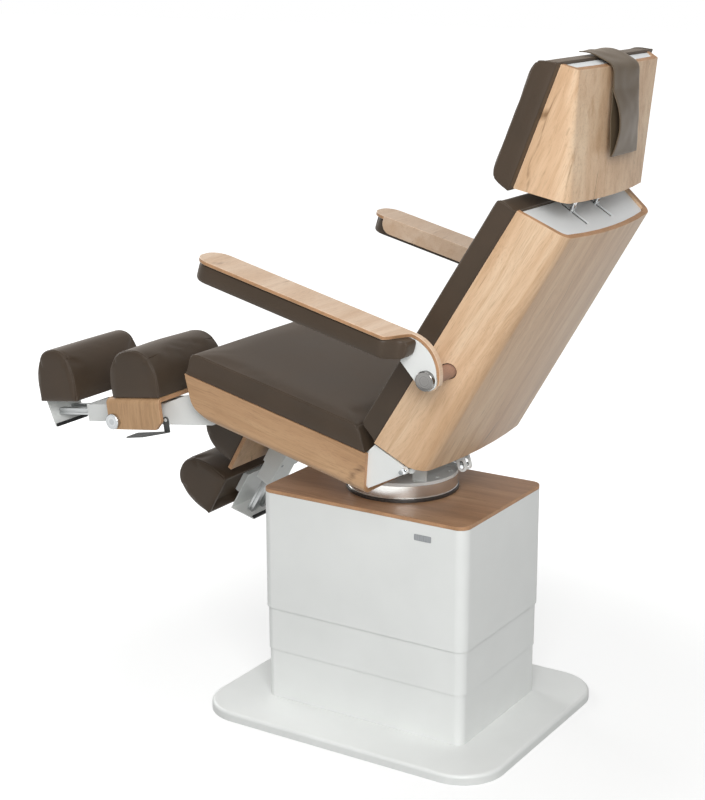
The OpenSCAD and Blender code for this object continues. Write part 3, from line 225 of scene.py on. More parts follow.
# white powder coat, sprayed and baked: even and satin with a faint orange peel
def powderCoat(name, colour, shade):
    material, tree, shader, spot = newMaterial(name, Roughness=0.38, Specular_IOR_Level=0.5)
    cloud = addNode(tree, "TexNoise", {"Vector": spot, "Scale": 5, "Detail": 3})
    tone = addNode(tree, "ValToRGB", {0: cloud.outputs[0]}, stops=[(0.3, shade), (0.7, colour)])
    peel = addNode(tree, "TexNoise", {"Vector": spot, "Scale": 1000 / 2.4, "Detail": 2})
    gloss = addNode(tree, "MapRange", {"Value": cloud.outputs[0], "To Min": 0.34, "To Max": 0.42})
    tree.links.new(tone.outputs[0], shader.inputs["Base Color"])
    tree.links.new(gloss.outputs[0], shader.inputs["Roughness"])
    bumpTo(tree, shader, peel.outputs[0], 0.00012, 0.5)
    return material


# repeat of each mark in the oak: across, through and along the board; the pores are coarser than real ones, so that
# they show in the picture
oakMm = {"band": (70, 70, 900), "ring": (22, 22, 700), "pore": (1.7, 1.7, 42), "crack": (110, 110, 1500),
         "gap": (45, 45, 260)}


# sliced light oak under satin lacquer: slow bands, fine pores and long dark drying cracks along the board
def oakVeneer(name, turn, shift, tones, cracks=1.0):
    light, middle, deep, crack = tones
    material, tree, shader, spot = newMaterial(name, Roughness=0.44, Specular_IOR_Level=0.36, Coat_Weight=0.06,
                                               Coat_Roughness=0.35)
    board = addNode(tree, "Mapping", {"Vector": spot, "Location": shift, "Rotation": turn}).outputs[0]
    drift = addNode(tree, "Mapping", {"Vector": board, "Scale": perMm(150, 150, 420)})
    drift = addNode(tree, "TexNoise", {"Vector": drift.outputs[0], "Scale": 1, "Detail": 3})
    bent = {0: drift.outputs["Color"], 1: (0.05, 0.05, 0), 2: board}  # the grain wanders by up to 50 mm
    board = addNode(tree, "VectorMath", bent, operation="MULTIPLY_ADD").outputs[0]
    stretched = {}
    for key, size in oakMm.items():
        stretched[key] = addNode(tree, "Mapping", {"Vector": board, "Scale": perMm(*size)}).outputs[0]
    band = addNode(tree, "TexNoise", {"Vector": stretched["band"], "Scale": 1, "Detail": 4, "Roughness": 0.6})
    tone = addNode(tree, "ValToRGB", {0: band.outputs[0]}, stops=[(0.32, deep), (0.5, middle), (0.68, light)])
    ring = addNode(tree, "TexNoise", {"Vector": stretched["ring"], "Scale": 1, "Detail": 3, "Roughness": 0.7})
    ringDark = addNode(tree, "MapRange",
                       {"Value": ring.outputs[0], "From Min": 0.5, "From Max": 0.66, "To Max": 0.6})
    tone = addNode(tree, "Mix", {0: ringDark.outputs[0], 6: tone.outputs[0], 7: linear(deep)}, data_type="RGBA")
    pore = addNode(tree, "TexNoise", {"Vector": stretched["pore"], "Scale": 1, "Detail": 2, "Roughness": 0.7})
    poreDark = addNode(tree, "MapRange",
                       {"Value": pore.outputs[0], "From Min": 0.52, "From Max": 0.72, "To Max": 0.32})
    tone = addNode(tree, "Mix", {0: poreDark.outputs[0], 6: tone.outputs[2], 7: linear(crack)}, data_type="RGBA")
    edge = addNode(tree, "TexVoronoi", {"Vector": stretched["crack"], "Scale": 1, "Randomness": 1},
                   feature="DISTANCE_TO_EDGE")
    line = addNode(tree, "MapRange", {"Value": edge.outputs["Distance"], "From Min": 0.002, "From Max": 0.012,
                                      "To Min": 1.0, "To Max": 0.0})
    gap = addNode(tree, "TexNoise", {"Vector": stretched["gap"], "Scale": 1, "Detail": 4, "Roughness": 0.75})
    opened = addNode(tree, "MapRange",
                     {"Value": gap.outputs[0], "From Min": 0.53, "From Max": 0.66, "To Max": 0.9 * cracks})
    split = addNode(tree, "Math", {0: line.outputs[0], 1: opened.outputs[0]}, operation="MULTIPLY")
    tone = addNode(tree, "Mix", {0: split.outputs[0], 6: tone.outputs[2], 7: linear(crack)}, data_type="RGBA")
    tree.links.new(tone.outputs[2], shader.inputs["Base Color"])
    gloss = addNode(tree, "MapRange", {"Value": band.outputs[0], "To Min": 0.38, "To Max": 0.52})
    tree.links.new(gloss.outputs[0], shader.inputs["Roughness"])
    relief = addNode(tree, "Math", {0: split.outputs[0], 1: poreDark.outputs[0]}, operation="ADD")
    height = addNode(tree, "Math", {0: 1.0, 1: relief.outputs[0]}, operation="SUBTRACT")
    bumpTo(tree, shader, height.outputs[0], 0.0003, 0.6)
    return material


# sanded edge of the bent plywood, oiled: warm orange brown with thin glue lines
def plyEdge(name, colour, dark):
    material, tree, shader, spot = newMaterial(name, Roughness=0.55)
    grain = addNode(tree, "TexNoise", {"Vector": spot, "Scale": 1000 / 3.2, "Detail": 4, "Roughness": 0.7})
    cloud = addNode(tree, "TexNoise", {"Vector": spot, "Scale": 1000 / 45, "Detail": 2})
    both = addNode(tree, "Mix", {0: 0.5, 2: grain.outputs[0], 3: cloud.outputs[0]})
    tone = addNode(tree, "ValToRGB", {0: both.outputs[0]}, stops=[(0.38, dark), (0.6, colour)])
    tree.links.new(tone.outputs[0], shader.inputs["Base Color"])
    bumpTo(tree, shader, grain.outputs[0], 0.0002, 0.5)
    return material


# polyurethane-coated upholstery cloth, embossed: matt pebble grain with a soft broad sheen
def coatedCloth(name, colour, shade, grainMm, gloss):
    material, tree, shader, spot = newMaterial(name, Roughness=gloss, Specular_IOR_Level=0.3, Sheen_Weight=0.16,
                                               Sheen_Roughness=0.45, Sheen_Tint=linear("cdb79c"))
    cloud = addNode(tree, "TexNoise", {"Vector": spot, "Scale": 1000 / 140, "Detail": 3})
    pebble = addNode(tree, "TexVoronoi", {"Vector": spot, "Scale": 1000 / grainMm}, feature="SMOOTH_F1")
    fine = addNode(tree, "TexNoise", {"Vector": spot, "Scale": 1000 / (0.45 * grainMm), "Detail": 2})
    tone = addNode(tree, "ValToRGB", {0: cloud.outputs[0]}, stops=[(0.3, shade), (0.7, colour)])
    # painted shade: the pebble grain's valleys are darkened towards the shade tone
    grainValleyShade = addNode(tree, "MapRange",
                     {"Value": pebble.outputs["Distance"], "From Min": 0.35, "From Max": 0.8, "To Max": 0.35})
    tone = addNode(tree, "Mix", {0: grainValleyShade.outputs[0], 6: tone.outputs[0], 7: linear(shade)}, data_type="RGBA")
    rough = addNode(tree, "MapRange", {"Value": cloud.outputs[0], "To Min": gloss - 0.07, "To Max": gloss + 0.07})
    height = addNode(tree, "Math", {0: pebble.outputs["Distance"], 1: fine.outputs[0]}, operation="SUBTRACT")
    tree.links.new(tone.outputs[2], shader.inputs["Base Color"])
    tree.links.new(rough.outputs[0], shader.inputs["Roughness"])
    bumpTo(tree, shader, height.outputs[0], 0.00014, 0.55)
    return material


# aluminium or steel turned on a lathe: light runs off it in bands that follow the tool round the axis
def turnedMetal(name, colour, dark, roughness, axis, anisotropy, lineMm):
    material, tree, shader, spot = newMaterial(name, Metallic=1.0, Roughness=roughness, Anisotropic=anisotropy)
    around = addNode(tree, "Tangent", direction_type="RADIAL", axis=axis)
    tree.links.new(around.outputs[0], shader.inputs["Tangent"])
    size = {"X": (lineMm, 0, 0), "Y": (0, lineMm, 0), "Z": (0, 0, lineMm)}[axis]
    feed = addNode(tree, "Mapping", {"Vector": spot, "Scale": perMm(*size)})
    line = addNode(tree, "TexNoise", {"Vector": feed.outputs[0], "Scale": 1, "Detail": 3})
    tone = addNode(tree, "ValToRGB", {0: line.outputs[0]}, stops=[(0.3, dark), (0.7, colour)])
    rough = addNode(tree, "MapRange",
                    {"Value": line.outputs[0], "To Min": roughness * 0.8, "To Max": roughness * 1.25})
    tree.links.new(tone.outputs[0], shader.inputs["Base Color"])
    tree.links.new(rough.outputs[0], shader.inputs["Roughness"])
    bumpTo(tree, shader, line.outputs[0], 0.00008, 0.5)
    return material


# drawn, plated or cast metal without turning marks
def plainMetal(name, colour, dark, roughness, grainMm):
    material, tree, shader, spot = newMaterial(name, Metallic=1.0, Roughness=roughness)
    drawn = addNode(tree, "Mapping", {"Vector": spot, "Scale": perMm(*grainMm)})
    line = addNode(tree, "TexNoise", {"Vector": drawn.outputs[0], "Scale": 1, "Detail": 3})
    tone = addNode(tree, "ValToRGB", {0: line.outputs[0]}, stops=[(0.3, dark), (0.7, colour)])
    rough = addNode(tree, "MapRange",
                    {"Value": line.outputs[0], "To Min": roughness * 0.75, "To Max": roughness * 1.3})
    tree.links.new(tone.outputs[0], shader.inputs["Base Color"])
    tree.links.new(rough.outputs[0], shader.inputs["Roughness"])
    bumpTo(tree, shader, line.outputs[0], 0.00006, 0.5)
    return material


# moulded plastic or rubber, spark-eroded mould: fine even texture, dull highlights
def mouldedPlastic(name, colour, shade, roughness, grainMm):
    material, tree, shader, spot = newMaterial(name, Roughness=roughness, Specular_IOR_Level=0.45)
    grain = addNode(tree, "TexNoise", {"Vector": spot, "Scale": 1000 / grainMm, "Detail": 3})
    cloud = addNode(tree, "TexNoise", {"Vector": spot, "Scale": 1000 / 60, "Detail": 2})
    tone = addNode(tree, "ValToRGB", {0: cloud.outputs[0]}, stops=[(0.3, shade), (0.7, colour)])
    tree.links.new(tone.outputs[0], shader.inputs["Base Color"])
    bumpTo(tree, shader, grain.outputs[0], 0.0001, 0.6)
    return material


quarter = math.pi / 2
headLean = chair["backLean"] - chair["headTilt"]
calfDrop = chair["legDrop"]["left"] - chair["seatTilt"]
oakTones = ("e7ccad", "dab997", "c49e79", "80603f")
finishes = {
    "column": powderCoat("powderCoatWhite", "eceeec", "e6e8e6"),
    "frame": powderCoat("powderCoatFrame", "eef0ee", "e7e9e7"),
    # the seat's oak is a darker copy of the oak veneer: its tones hold painted shade
    "seatOak": oakVeneer("oakVeneerSeat", (-quarter + math.radians(chair["seatTilt"]), 0, 0), (0.3, 0.1, 0.2),
                         ("cba680", "bd9671", "a57f5a", "73553c")),
    "backOak": oakVeneer("oakVeneerBack", (math.radians(chair["backLean"]), 0, 0), (0.12, 0.45, 0.8), oakTones),
    "headOak": oakVeneer("oakVeneerHead", (math.radians(headLean), 0, 0), (0.55, 0.2, 0.3), oakTones),
    # the arm rails' oak is a lighter, paler copy of the oak veneer: its tones hold a painted sheen
    "armOak": oakVeneer("oakVeneerArm", (0, quarter, 0), (0.1, 0.6, 0.4),
                        ("e4ccb4", "dbbfa4", "d0b091", "8f6f56"), 0.8),
    # the calf rests' oak is a darker copy of the oak veneer: its tones hold painted shade
    "calfOak": oakVeneer("oakVeneerCalf", (math.radians(-calfDrop), 0, 0), (0.7, 0.1, 0.5),
                         ("cda881", "be9872", "a6815b", "73543a")),
    "boardOak": oakVeneer("smokedOakBoard", (quarter, 0, 0), (0.2, 0.9, 0.1),
                          ("bd9674", "ab8362", "946f51", "62462f"), 0.7),
    "edge": plyEdge("plywoodEdge", "c0936d", "a27b58"),
    "boss": plyEdge("oakBossEndGrain", "a98672", "927060"),
    "leather": coatedCloth("upholsteryBrown", "473a2e", "3e3328", 1.9, 0.48),
    "strap": coatedCloth("strapTaupe", "615341", "544737", 1.6, 0.4),
    "cap": powderCoat("powderCoatCapGrey", "eceeee", "e5e8e8"),
    "ring": turnedMetal("turnedAluminium", "f0efec", "cfcecb", 0.24, "Z", 0.6, 0.8),
    "disc": plainMetal("burnishedSteelDisc", "6b6a68", "4c4b4a", 0.35, (6, 6, 2)),
    "chromeTurned": turnedMetal("turnedChrome", "d3d5d6", "a9acae", 0.16, "X", 0.75, 0.6),
    # the arm caps' chrome is a darker copy of the turned chrome: its tones hold painted shade
    "chromeCap": turnedMetal("turnedChromeCap", "9a9895", "6e6c6a", 0.13, "X", 0.9, 0.5),
    "chrome": plainMetal("polishedChrome", "e6e8e9", "cfd2d4", 0.08, (9, 9, 9)),
    "rail": plainMetal("anodisedAluminiumRail", "c4c6c6", "a9acac", 0.32, (40, 40, 1.2)),
    "zinc": plainMetal("zincPlatedSteel", "b9bcbd", "8f9294", 0.4, (14, 14, 14)),
    "plastic": mouldedPlastic("blackPolyamide", "2b2c2d", "212223", 0.5, 0.9),
    "rubber": mouldedPlastic("blackRubber", "1f2020", "181919", 0.7, 1.1),
    "lever": powderCoat("powderCoatAnthracite", "4a4b49", "414240"),
    "plate": plainMetal("brushedPlateMetal", "9d9fa0", "84878a", 0.36, (1.4, 1.4, 30)),
}
print("chair:", len(finishes), "finishes")


# Rigid pieces: the solid's own shape with its edges broken, as sanding or deburring leaves them

def applyModifiers(piece):
    bpy.context.view_layer.update()
    for modifier in list(piece.modifiers):
        with bpy.context.temp_override(object=piece, active_object=piece, selected_objects=[piece]):
            bpy.ops.object.modifier_apply(modifier=modifier.name)


def camelName(node):
    first, *rest = node.split("_")
    return first + "".join(word.title() for word in rest)


def dress(node, finish, edgeMm=0.7, own=Matrix(), edgeFinish=None, isEdge=None, smooth=32):
    source = frame["nodes"][node]
    mesh = source.data.copy()
    mesh.materials.clear()
    back = own.inverted()
    work = bmesh.new()
    work.from_mesh(mesh)
    bmesh.ops.remove_doubles(work, verts=work.verts, dist=1e-5)
    bmesh.ops.dissolve_limit(work, angle_limit=math.radians(0.7), verts=work.verts, edges=work.edges)
    for face in work.faces:
        face.smooth = True
        at, facing = back @ face.calc_center_median(), back.to_3x3() @ face.normal
        face.material_index = 1 if isEdge and isEdge(at, facing) else 0
    work.to_mesh(mesh)
    work.free()
    mesh.materials.append(finishes[finish])
    if edgeFinish:
        mesh.materials.append(finishes[edgeFinish])
    mesh.set_sharp_from_angle(angle=math.radians(smooth))
    piece = bpy.data.objects.new(camelName(node), mesh)
    scene.collection.objects.link(piece)
    bevel = piece.modifiers.new("brokenEdges", "BEVEL")
    bevel.width, bevel.segments, bevel.limit_method = edgeMm / 1000, 2, "ANGLE"
    bevel.angle_limit, bevel.material = math.radians(smooth), 0
    normals = piece.modifiers.new("evenNormals", "WEIGHTED_NORMAL")
    normals.keep_sharp = True
    applyModifiers(piece)
    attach(piece, source["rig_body"])
    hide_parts(node)


shellEdges = {
    "seat_shell": lambda at, facing: facing.z > 0.7 or abs(facing.y) > 0.25,
    "back_shell": lambda at, facing: abs(facing.z) > 0.7 or facing.y < -0.7,
    "head_shell": lambda at, facing: abs(facing.z) > 0.7 or facing.y < -0.7,
    "arm_shell": lambda at, facing: at.z > 0.0826 and abs(facing.z) < 0.5 or at.x > 0.3615 and facing.x > 0.7,
    "calf_shell": lambda at, facing: (abs(facing.y) > 0.5 or facing.z < -0.7 and at.z < -0.03
                                      or abs(facing.x) > 0.7 and at.x < 0.05),
}
dress("base_plate", "column", 0.5)
dress("upper_shroud", "column", 0.6)
dress("middle_shroud", "column", 0.4)
dress("lower_shroud", "column", 0.4)
dress("top_board", "boardOak", 1.2, edgeFinish="edge", isEdge=lambda at, facing: abs(facing.z) < 0.5)
dress("swivel_base", "disc", 0.8)
dress("swivel_ring", "ring", 0.5)
dress("turntable_plate", "frame", 0.8)
dress("seat_shell", "seatOak", 1.2, seatPlace, "edge", shellEdges["seat_shell"])
dress("seat_frame", "frame", 0.8)
dress("seat_end_plate", "frame", 0.8)
dress("hinge_pins", "chrome", 0.6)
dress("back_shell", "backOak", 1.2, backPlace, "edge", shellEdges["back_shell"])
dress("back_cap", "cap", 0.8)
dress("arm_axles", "boss", 1.0)
dress("head_shell", "headOak", 1.2, headPlace, "edge", shellEdges["head_shell"])
dress("head_cap", "cap", 0.6)
dress("head_rods", "chrome", 0.4)
for side in sides:
    dress("arm_shell_" + side, "armOak", 1.0, armPlace[side], "edge", shellEdges["arm_shell"])
    dress("arm_bracket_" + side, "frame", 0.8)
    dress("arm_cap_" + side, "chromeCap", 0.4)
    dress("leg_arm_" + side, "frame", 1.0)
    dress("calf_shell_" + side, "calfOak", 1.0, legPlace[side], "edge", shellEdges["calf_shell"])
    dress("leg_knob_" + side, "chromeTurned", 0.4)
    dress("leg_lever_" + side, "lever", 0.5)
    dress("slide_box_" + side, "frame", 0.6)
    dress("slide_rails_" + side, "rail", 0.4)
    dress("foot_plate_" + side, "frame", 0.8)
    dress("grip_strip_" + side, "rubber", 0.8)
hidden = {"lift_outer_tube": "zinc", "lift_motor": "plastic", "lift_middle_tube": "zinc",
          "lift_middle_spindle": "zinc", "lift_inner_tube": "zinc", "lift_rod": "chrome",
          "recline_motor": "plastic", "recline_rod": "chrome", "back_frame": "frame", "head_carriage": "plastic"}
for node, finish in hidden.items():
    solid = frame["nodes"][node]
    solid.data.materials.clear()
    solid.data.materials.append(finishes[finish])
print("chair: rigid pieces")


# Upholstery: closed forms on a mesh whose lines crowd at the seams

seamLines = (0, 0.0015, 0.0034, 0.006, 0.010)
# thread groove with a low welt beside it
seamShape = {"groove": 0.0013, "weltAt": 0.0042, "welt": 0.0016, "weltRise": 0.45}


def meshLines(low, high, step, extra=()):
    inner = 2 * seamLines[-1]
    count = max(2, round((high - low - inner) / step))
    lines = [low + d for d in seamLines]
    lines += [low + seamLines[-1] + (high - low - inner) * k / count for k in range(1, count)]
    lines += [high - d for d in seamLines]
    return np.array(sorted(lines + list(extra)))


def gridBox(lines):
    index, points, quads = {}, [], []
    for axis in range(3):
        a, b = (axis + 1) % 3, (axis + 2) % 3
        for end in (0, len(lines[axis]) - 1):
            for p in range(len(lines[a]) - 1):
                for q in range(len(lines[b]) - 1):
                    loop = []
                    for dp, dq in ((0, 0), (1, 0), (1, 1), (0, 1)):
                        key = [0, 0, 0]
                        key[axis], key[a], key[b] = end, p + dp, q + dq
                        key = tuple(key)
                        if key not in index:
                            index[key] = len(points)
                            points.append([lines[k][key[k]] for k in range(3)])
                        loop.append(index[key])
                    quads.append(loop if end else loop[::-1])
    return np.array(points), quads


# every edge of the box gets this radius
def roundEdges(points, low, high, radius):
    inner = np.clip(points, low + radius, high - radius)
    out = points - inner
    length = np.linalg.norm(out, axis=1, keepdims=True)
    return np.where(length > 1e-9, inner + out / np.maximum(length, 1e-9) * radius, points)


# one square corner of the section, in axes a and b, becomes an elliptical one; power above 2 keeps it fuller
def turnCorner(points, axes, corner, radii, power=2.0):
    a, b = axes
    near = [np.maximum(0, (points[:, axis] - corner[k]) / radii[k]) for k, axis in enumerate(axes)]
    both = (near[0] > 1e-6) & (near[1] > 1e-6)
    curved = (near[0] ** power + near[1] ** power) ** (1 / power)
    scale = np.where(both, np.maximum(near[0], near[1]) / np.maximum(curved, 1e-9), 1)
    result = points.copy()
    result[:, a] = np.where(both, corner[0] + (points[:, a] - corner[0]) * scale, points[:, a])
    result[:, b] = np.where(both, corner[1] + (points[:, b] - corner[1]) * scale, points[:, b])
    return result


coverCloth = {"quality": 4, "mass": 0.3, "stretch": 15, "shear": 5, "bend": 0.5, "steps": 20}


# the cover blows up a little under pressure as foam fills it; held points stay on the board below
def swell(points, quads, held, pressure, cap):
    mesh = bpy.data.meshes.new("swelling")
    mesh.from_pydata(points.tolist(), [], quads)
    piece = bpy.data.objects.new("swelling", mesh)
    scene.collection.objects.link(piece)
    group = piece.vertex_groups.new(name="held")
    group.add([int(k) for k in np.nonzero(held)[0]], 1.0, "REPLACE")
    cloth = piece.modifiers.new("cover", "CLOTH")
    settings = cloth.settings
    settings.quality, settings.mass = coverCloth["quality"], coverCloth["mass"]
    settings.tension_stiffness = settings.compression_stiffness = coverCloth["stretch"]
    settings.shear_stiffness, settings.bending_stiffness = coverCloth["shear"], coverCloth["bend"]
    settings.use_pressure, settings.uniform_pressure_force = True, pressure
    settings.effector_weights.gravity = 0
    settings.vertex_group_mass = "held"
    cloth.collision_settings.use_collision = False
    cloth.point_cache.frame_start, cloth.point_cache.frame_end = 1, coverCloth["steps"]
    for step in range(1, coverCloth["steps"] + 1):
        scene.frame_set(step)
    graph = bpy.context.evaluated_depsgraph_get()
    result = piece.evaluated_get(graph).to_mesh()
    moved = np.array([v.co for v in result.vertices]) - points
    piece.evaluated_get(graph).to_mesh_clear()
    scene.frame_set(1)
    bpy.data.objects.remove(piece)
    length = np.linalg.norm(moved, axis=1, keepdims=True)
    return points + moved * np.minimum(1, cap / np.maximum(length, 1e-9))


def pointNormals(points, quads):
    loops = np.array(quads)
    a, b, c, d = (points[loops[:, k]] for k in range(4))
    facing = np.cross(c - a, d - b)
    total = np.zeros_like(points)
    for k in range(4):
        np.add.at(total, loops[:, k], facing)
    return total / np.maximum(np.linalg.norm(total, axis=1, keepdims=True), 1e-12)


def meshPiece(name, points, quads, finish, levels=1):
    mesh = bpy.data.meshes.new(name)
    mesh.from_pydata(np.asarray(points).tolist(), [], [list(q) for q in quads])
    mesh.polygons.foreach_set("use_smooth", [True] * len(mesh.polygons))
    mesh.materials.append(finishes[finish])
    piece = bpy.data.objects.new(name, mesh)
    scene.collection.objects.link(piece)
    if levels:
        smooth = piece.modifiers.new("smooth", "SUBSURF")
        smooth.levels = smooth.render_levels = levels
        applyModifiers(piece)
    return piece


def moveInto(piece, where):
    piece.data.transform(where)
    if where.determinant() < 0:
        piece.data.flip_normals()


def upholster(look, targets):
    low, high = np.array(look["low"]), np.array(look["high"])
    extra = look.get("lines", {})
    lines = [meshLines(low[k], high[k], look["step"], extra.get(k, ())) for k in range(3)]
    points, quads = gridBox(lines)
    gap = np.minimum(points - low, high - points)
    onSide = gap[:, 0] < 1e-7
    outline = np.minimum(gap[:, 1], high[2] - points[:, 2])  # distance to the side panel's outline
    seam = np.where(onSide, outline, gap[:, 0])
    seam = np.where((points[:, 2] - low[2] < 1e-7) & ~onSide, 1.0, seam)
    held = points[:, 2] - low[2] < 1e-7
    points = roundEdges(points, low, high, look["edge"])
    points = look["form"](points)
    points = swell(points, quads, held, look["pressure"], look["cap"])
    if "after" in look:
        points = look["after"](points)
    facing = pointNormals(points, quads)
    groove, welt = np.exp(-(seam / seamShape["groove"]) ** 2), (seam - seamShape["weltAt"]) / seamShape["welt"]
    dip = look["seam"] * (seamShape["weltRise"] * np.exp(-welt ** 2) - groove)
    points = points + facing * dip[:, None]
    for name, node, where in targets:
        piece = meshPiece(name, points, quads, look["finish"])
        moveInto(piece, where)
        body = frame["nodes"][node]["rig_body"]
        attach(piece, body)
        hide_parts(node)


# crown in the middle of the panel, more towards its face
def crown(points, low, high, rise):
    u = [np.clip(2 * (points[:, k] - low[k]) / (high[k] - low[k]) - 1, -1, 1) for k in range(2)]
    up = np.clip((points[:, 2] - low[2]) / (high[2] - low[2]), 0, 1)
    result = points.copy()
    result[:, 2] += rise * up * (1 - u[0] ** 4) * (1 - u[1] ** 4)
    return result


def lean(points, low, high, startSet, endSet):
    result = points.copy()
    f = (points[:, 1] - low[1]) / (high[1] - low[1])
    up = (points[:, 2] - low[2]) / (high[2] - low[2])
    result[:, 1] += up * ((1 - f) * startSet + f * endSet)
    return result


def slabForm(low, high, startRound, endRound, startSet, endSet, rise):
    def form(points):
        points = points.copy()
        points[:, 1] *= -1
        points = turnCorner(points, (1, 2), (-low[1] - startRound, high[2] - startRound), (startRound, startRound))
        points[:, 1] *= -1
        points = turnCorner(points, (1, 2), (high[1] - endRound, high[2] - endRound), (endRound, endRound))
        points = lean(points, low, high, startSet, endSet)
        return crown(points, low, high, rise)
    return form


slabFace = Matrix.Rotation(quarter, 4, "X")  # a back cushion lies on its board's front face
cushions = {
    "seat": {"low": (-0.282, -0.665, 0.005), "high": (0.282, -0.108, 0.0665),
             "startRound": 0.020, "endRound": 0.020, "startSet": 0, "endSet": -0.039, "rise": 0.003},
    "back": {"low": (-0.282, 0.0094, 0), "high": (0.282, 0.702, 0.0565),
             "startRound": 0.014, "endRound": 0.016, "startSet": 0.012, "endSet": 0, "rise": 0.003,
             "board": -0.0983},
    "head": {"low": (-0.263, 0.277, 0), "high": (0.263, 0.584, 0.0555),
             "startRound": 0.026, "endRound": 0.022, "startSet": 0.004, "endSet": -0.012, "rise": 0.003,
             "board": -0.0833},
}
cushionLook = {"step": 0.016, "edge": 0.005, "pressure": 2.5, "cap": 0.005, "seam": 0.0013,
               "finish": "leather", "fill": 0.85}


def onBoard(name, under):
    return under @ Matrix.Translation((0, cushions[name]["board"], 0)) @ slabFace


cushionTargets = {
    "seat": [("seatCushion", "seat_cushion", seatPlace)],
    "back": [("backCushion", "back_cushion", onBoard("back", backPlace))],
    "head": [("headCushion", "head_cushion", onBoard("head", headPlace))],
}
for name, look in cushions.items():
    form = slabForm(*(look[key] for key in ("low", "high", "startRound", "endRound", "startSet", "endSet", "rise")))
    upholster({**cushionLook, "low": look["low"], "high": look["high"], "form": form}, cushionTargets[name])
print("chair: seat, back and head cushions")


# Rolls under the calf and foot: D section, sewn round the end panels
rolls = {
    "calf": {"low": (0.006, -0.315, -0.0057), "high": (0.292, -0.153, 0.1243), "hollow": 0},
    "foot": {"low": (0.006, -0.464, -0.0172), "high": (0.292, -0.330, 0.1278), "hollow": 0.020},
}
rollLook = {"step": 0.011, "edge": 0.004, "pressure": 2.0, "cap": 0.004, "seam": 0.0014,
            "finish": "leather", "fill": 0.9}
# "upright" is the share of the height below the curve; the hollow's step lies at "walls", in shares of the half
# width, and at "ends", in metres from the end panels
rollShape = {"upright": 0.3, "power": 2.35, "tuck": 0.03, "walls": (0.72, 0.76), "ends": (0.011, 0.014)}


def rollForm(low, high, hollow):
    half, tall, middle = (high[1] - low[1]) / 2, high[2] - low[2], (high[1] + low[1]) / 2
    upright, (wallIn, wallOut), (endOut, endIn) = (rollShape[key] for key in ("upright", "walls", "ends"))

    def form(points):
        points = points.copy()
        points[:, 1] -= middle
        for _ in range(2):
            points = turnCorner(points, (1, 2), (0, low[2] + upright * tall), (half, (1 - upright) * tall),
                                rollShape["power"])
            points[:, 1] *= -1
        foot = np.clip(1 - (points[:, 2] - low[2]) / (upright * tall), 0, 1)
        points[:, 1] *= 1 - rollShape["tuck"] * foot ** 2
        inset = np.minimum(points[:, 0] - low[0], high[0] - points[:, 0])
        inside = np.clip((inset - endOut) / (endIn - endOut), 0, 1)
        raised = np.clip((wallOut * half - np.abs(points[:, 1])) / ((wallOut - wallIn) * half), 0, 1) * inside
        points[:, 2] += hollow * raised * (1 - (points[:, 2] - low[2]) / tall)
        points[:, 1] += middle
        return points
    return form


for name, look in rolls.items():
    half, middle = (look["high"][1] - look["low"][1]) / 2, (look["high"][1] + look["low"][1]) / 2
    walls = [middle + sign * half * share for sign in (-1, 1) for share in rollShape["walls"]]
    faces = ((look["low"][0], 1), (look["high"][0], -1))
    ends = [edge + sign * inset for edge, sign in faces for inset in rollShape["ends"]]
    frames = slidePlace if name == "foot" else legPlace
    upholster({**rollLook, "low": look["low"], "high": look["high"],
               "lines": {0: ends, 1: walls} if look["hollow"] else {},
               "form": rollForm(look["low"], look["high"], look["hollow"])},
              [(name + "Roll" + side.title(), name + "_roll_" + side, frames[side]) for side in sides])
print("chair: calf and foot rolls")


# Arm pads: under the oak rail, round at the nose, swept in and turned up at the tail
armPad = {"low": (0.3613, -0.6325, 0.0357), "high": (0.4485, -0.044, 0.0827), "nose": 0.040, "tail": 0.024,
          "sweepFrom": -0.092, "sweepTo": -0.060, "sweepIn": 0.037,
          "plate": 0.006, "plateFrom": -0.158, "plateTo": -0.134}


def armPadForm(points):
    low, high, nose, tail = armPad["low"], armPad["high"], armPad["nose"], armPad["tail"]
    points = points * (1, -1, 1)
    points = turnCorner(points, (0, 1), (high[0] - nose, -low[1] - nose), (nose, nose))
    points = points * (-1, 1, 1)
    points = turnCorner(points, (0, 1), (-low[0] - nose, -low[1] - nose), (nose, nose))
    points = points * (-1, -1, -1)
    points = turnCorner(points, (1, 2), (high[1] - tail, -low[2] - tail), (tail, tail))
    points = points * (1, 1, -1)
    y = points[:, 1]
    sweep = np.clip((y - armPad["sweepFrom"]) / (armPad["sweepTo"] - armPad["sweepFrom"]), 0, 1)
    sweep = (1 - np.cos(np.pi * sweep)) / 2
    plate = np.clip((y - armPad["plateFrom"]) / (armPad["plateTo"] - armPad["plateFrom"]), 0, 1)
    inner = low[0] + armPad["plate"] * plate
    outer = high[0] - armPad["sweepIn"] * sweep
    points[:, 0] = inner + (points[:, 0] - low[0]) / (high[0] - low[0]) * (outer - inner)
    return points


def underRail(points):
    points = points.copy()
    points[:, 2] = np.minimum(points[:, 2], armPad["high"][2])
    return points


upholster({"low": armPad["low"], "high": armPad["high"], "step": 0.010, "edge": 0.009, "pressure": 1.5,
           "cap": 0.0025, "seam": 0, "finish": "leather", "fill": 0.9, "form": armPadForm, "after": underRail},
          [("armPad" + side.title(), "arm_pad_" + side, armPlace[side]) for side in sides])
print("chair: arm pads")


# Strap over the headrest: a doubled band whose hanging end is a slack pouch
strap = {"half": 0.070, "front": (-0.124, 0.5775), "over": (-0.083, 0.5868), "rear": -0.0435, "top": 0.5835,
         "bend": 0.013, "crest": 0.003, "fall": 21.5, "hang": 0.192, "thick": 0.0026, "pouch": 0.019, "cup": 0.003,
         "pouchFrom": 0.5, "cupFrom": 0.35, "skew": 0.45, "ripple": 0.0015, "turned": 0.0009}


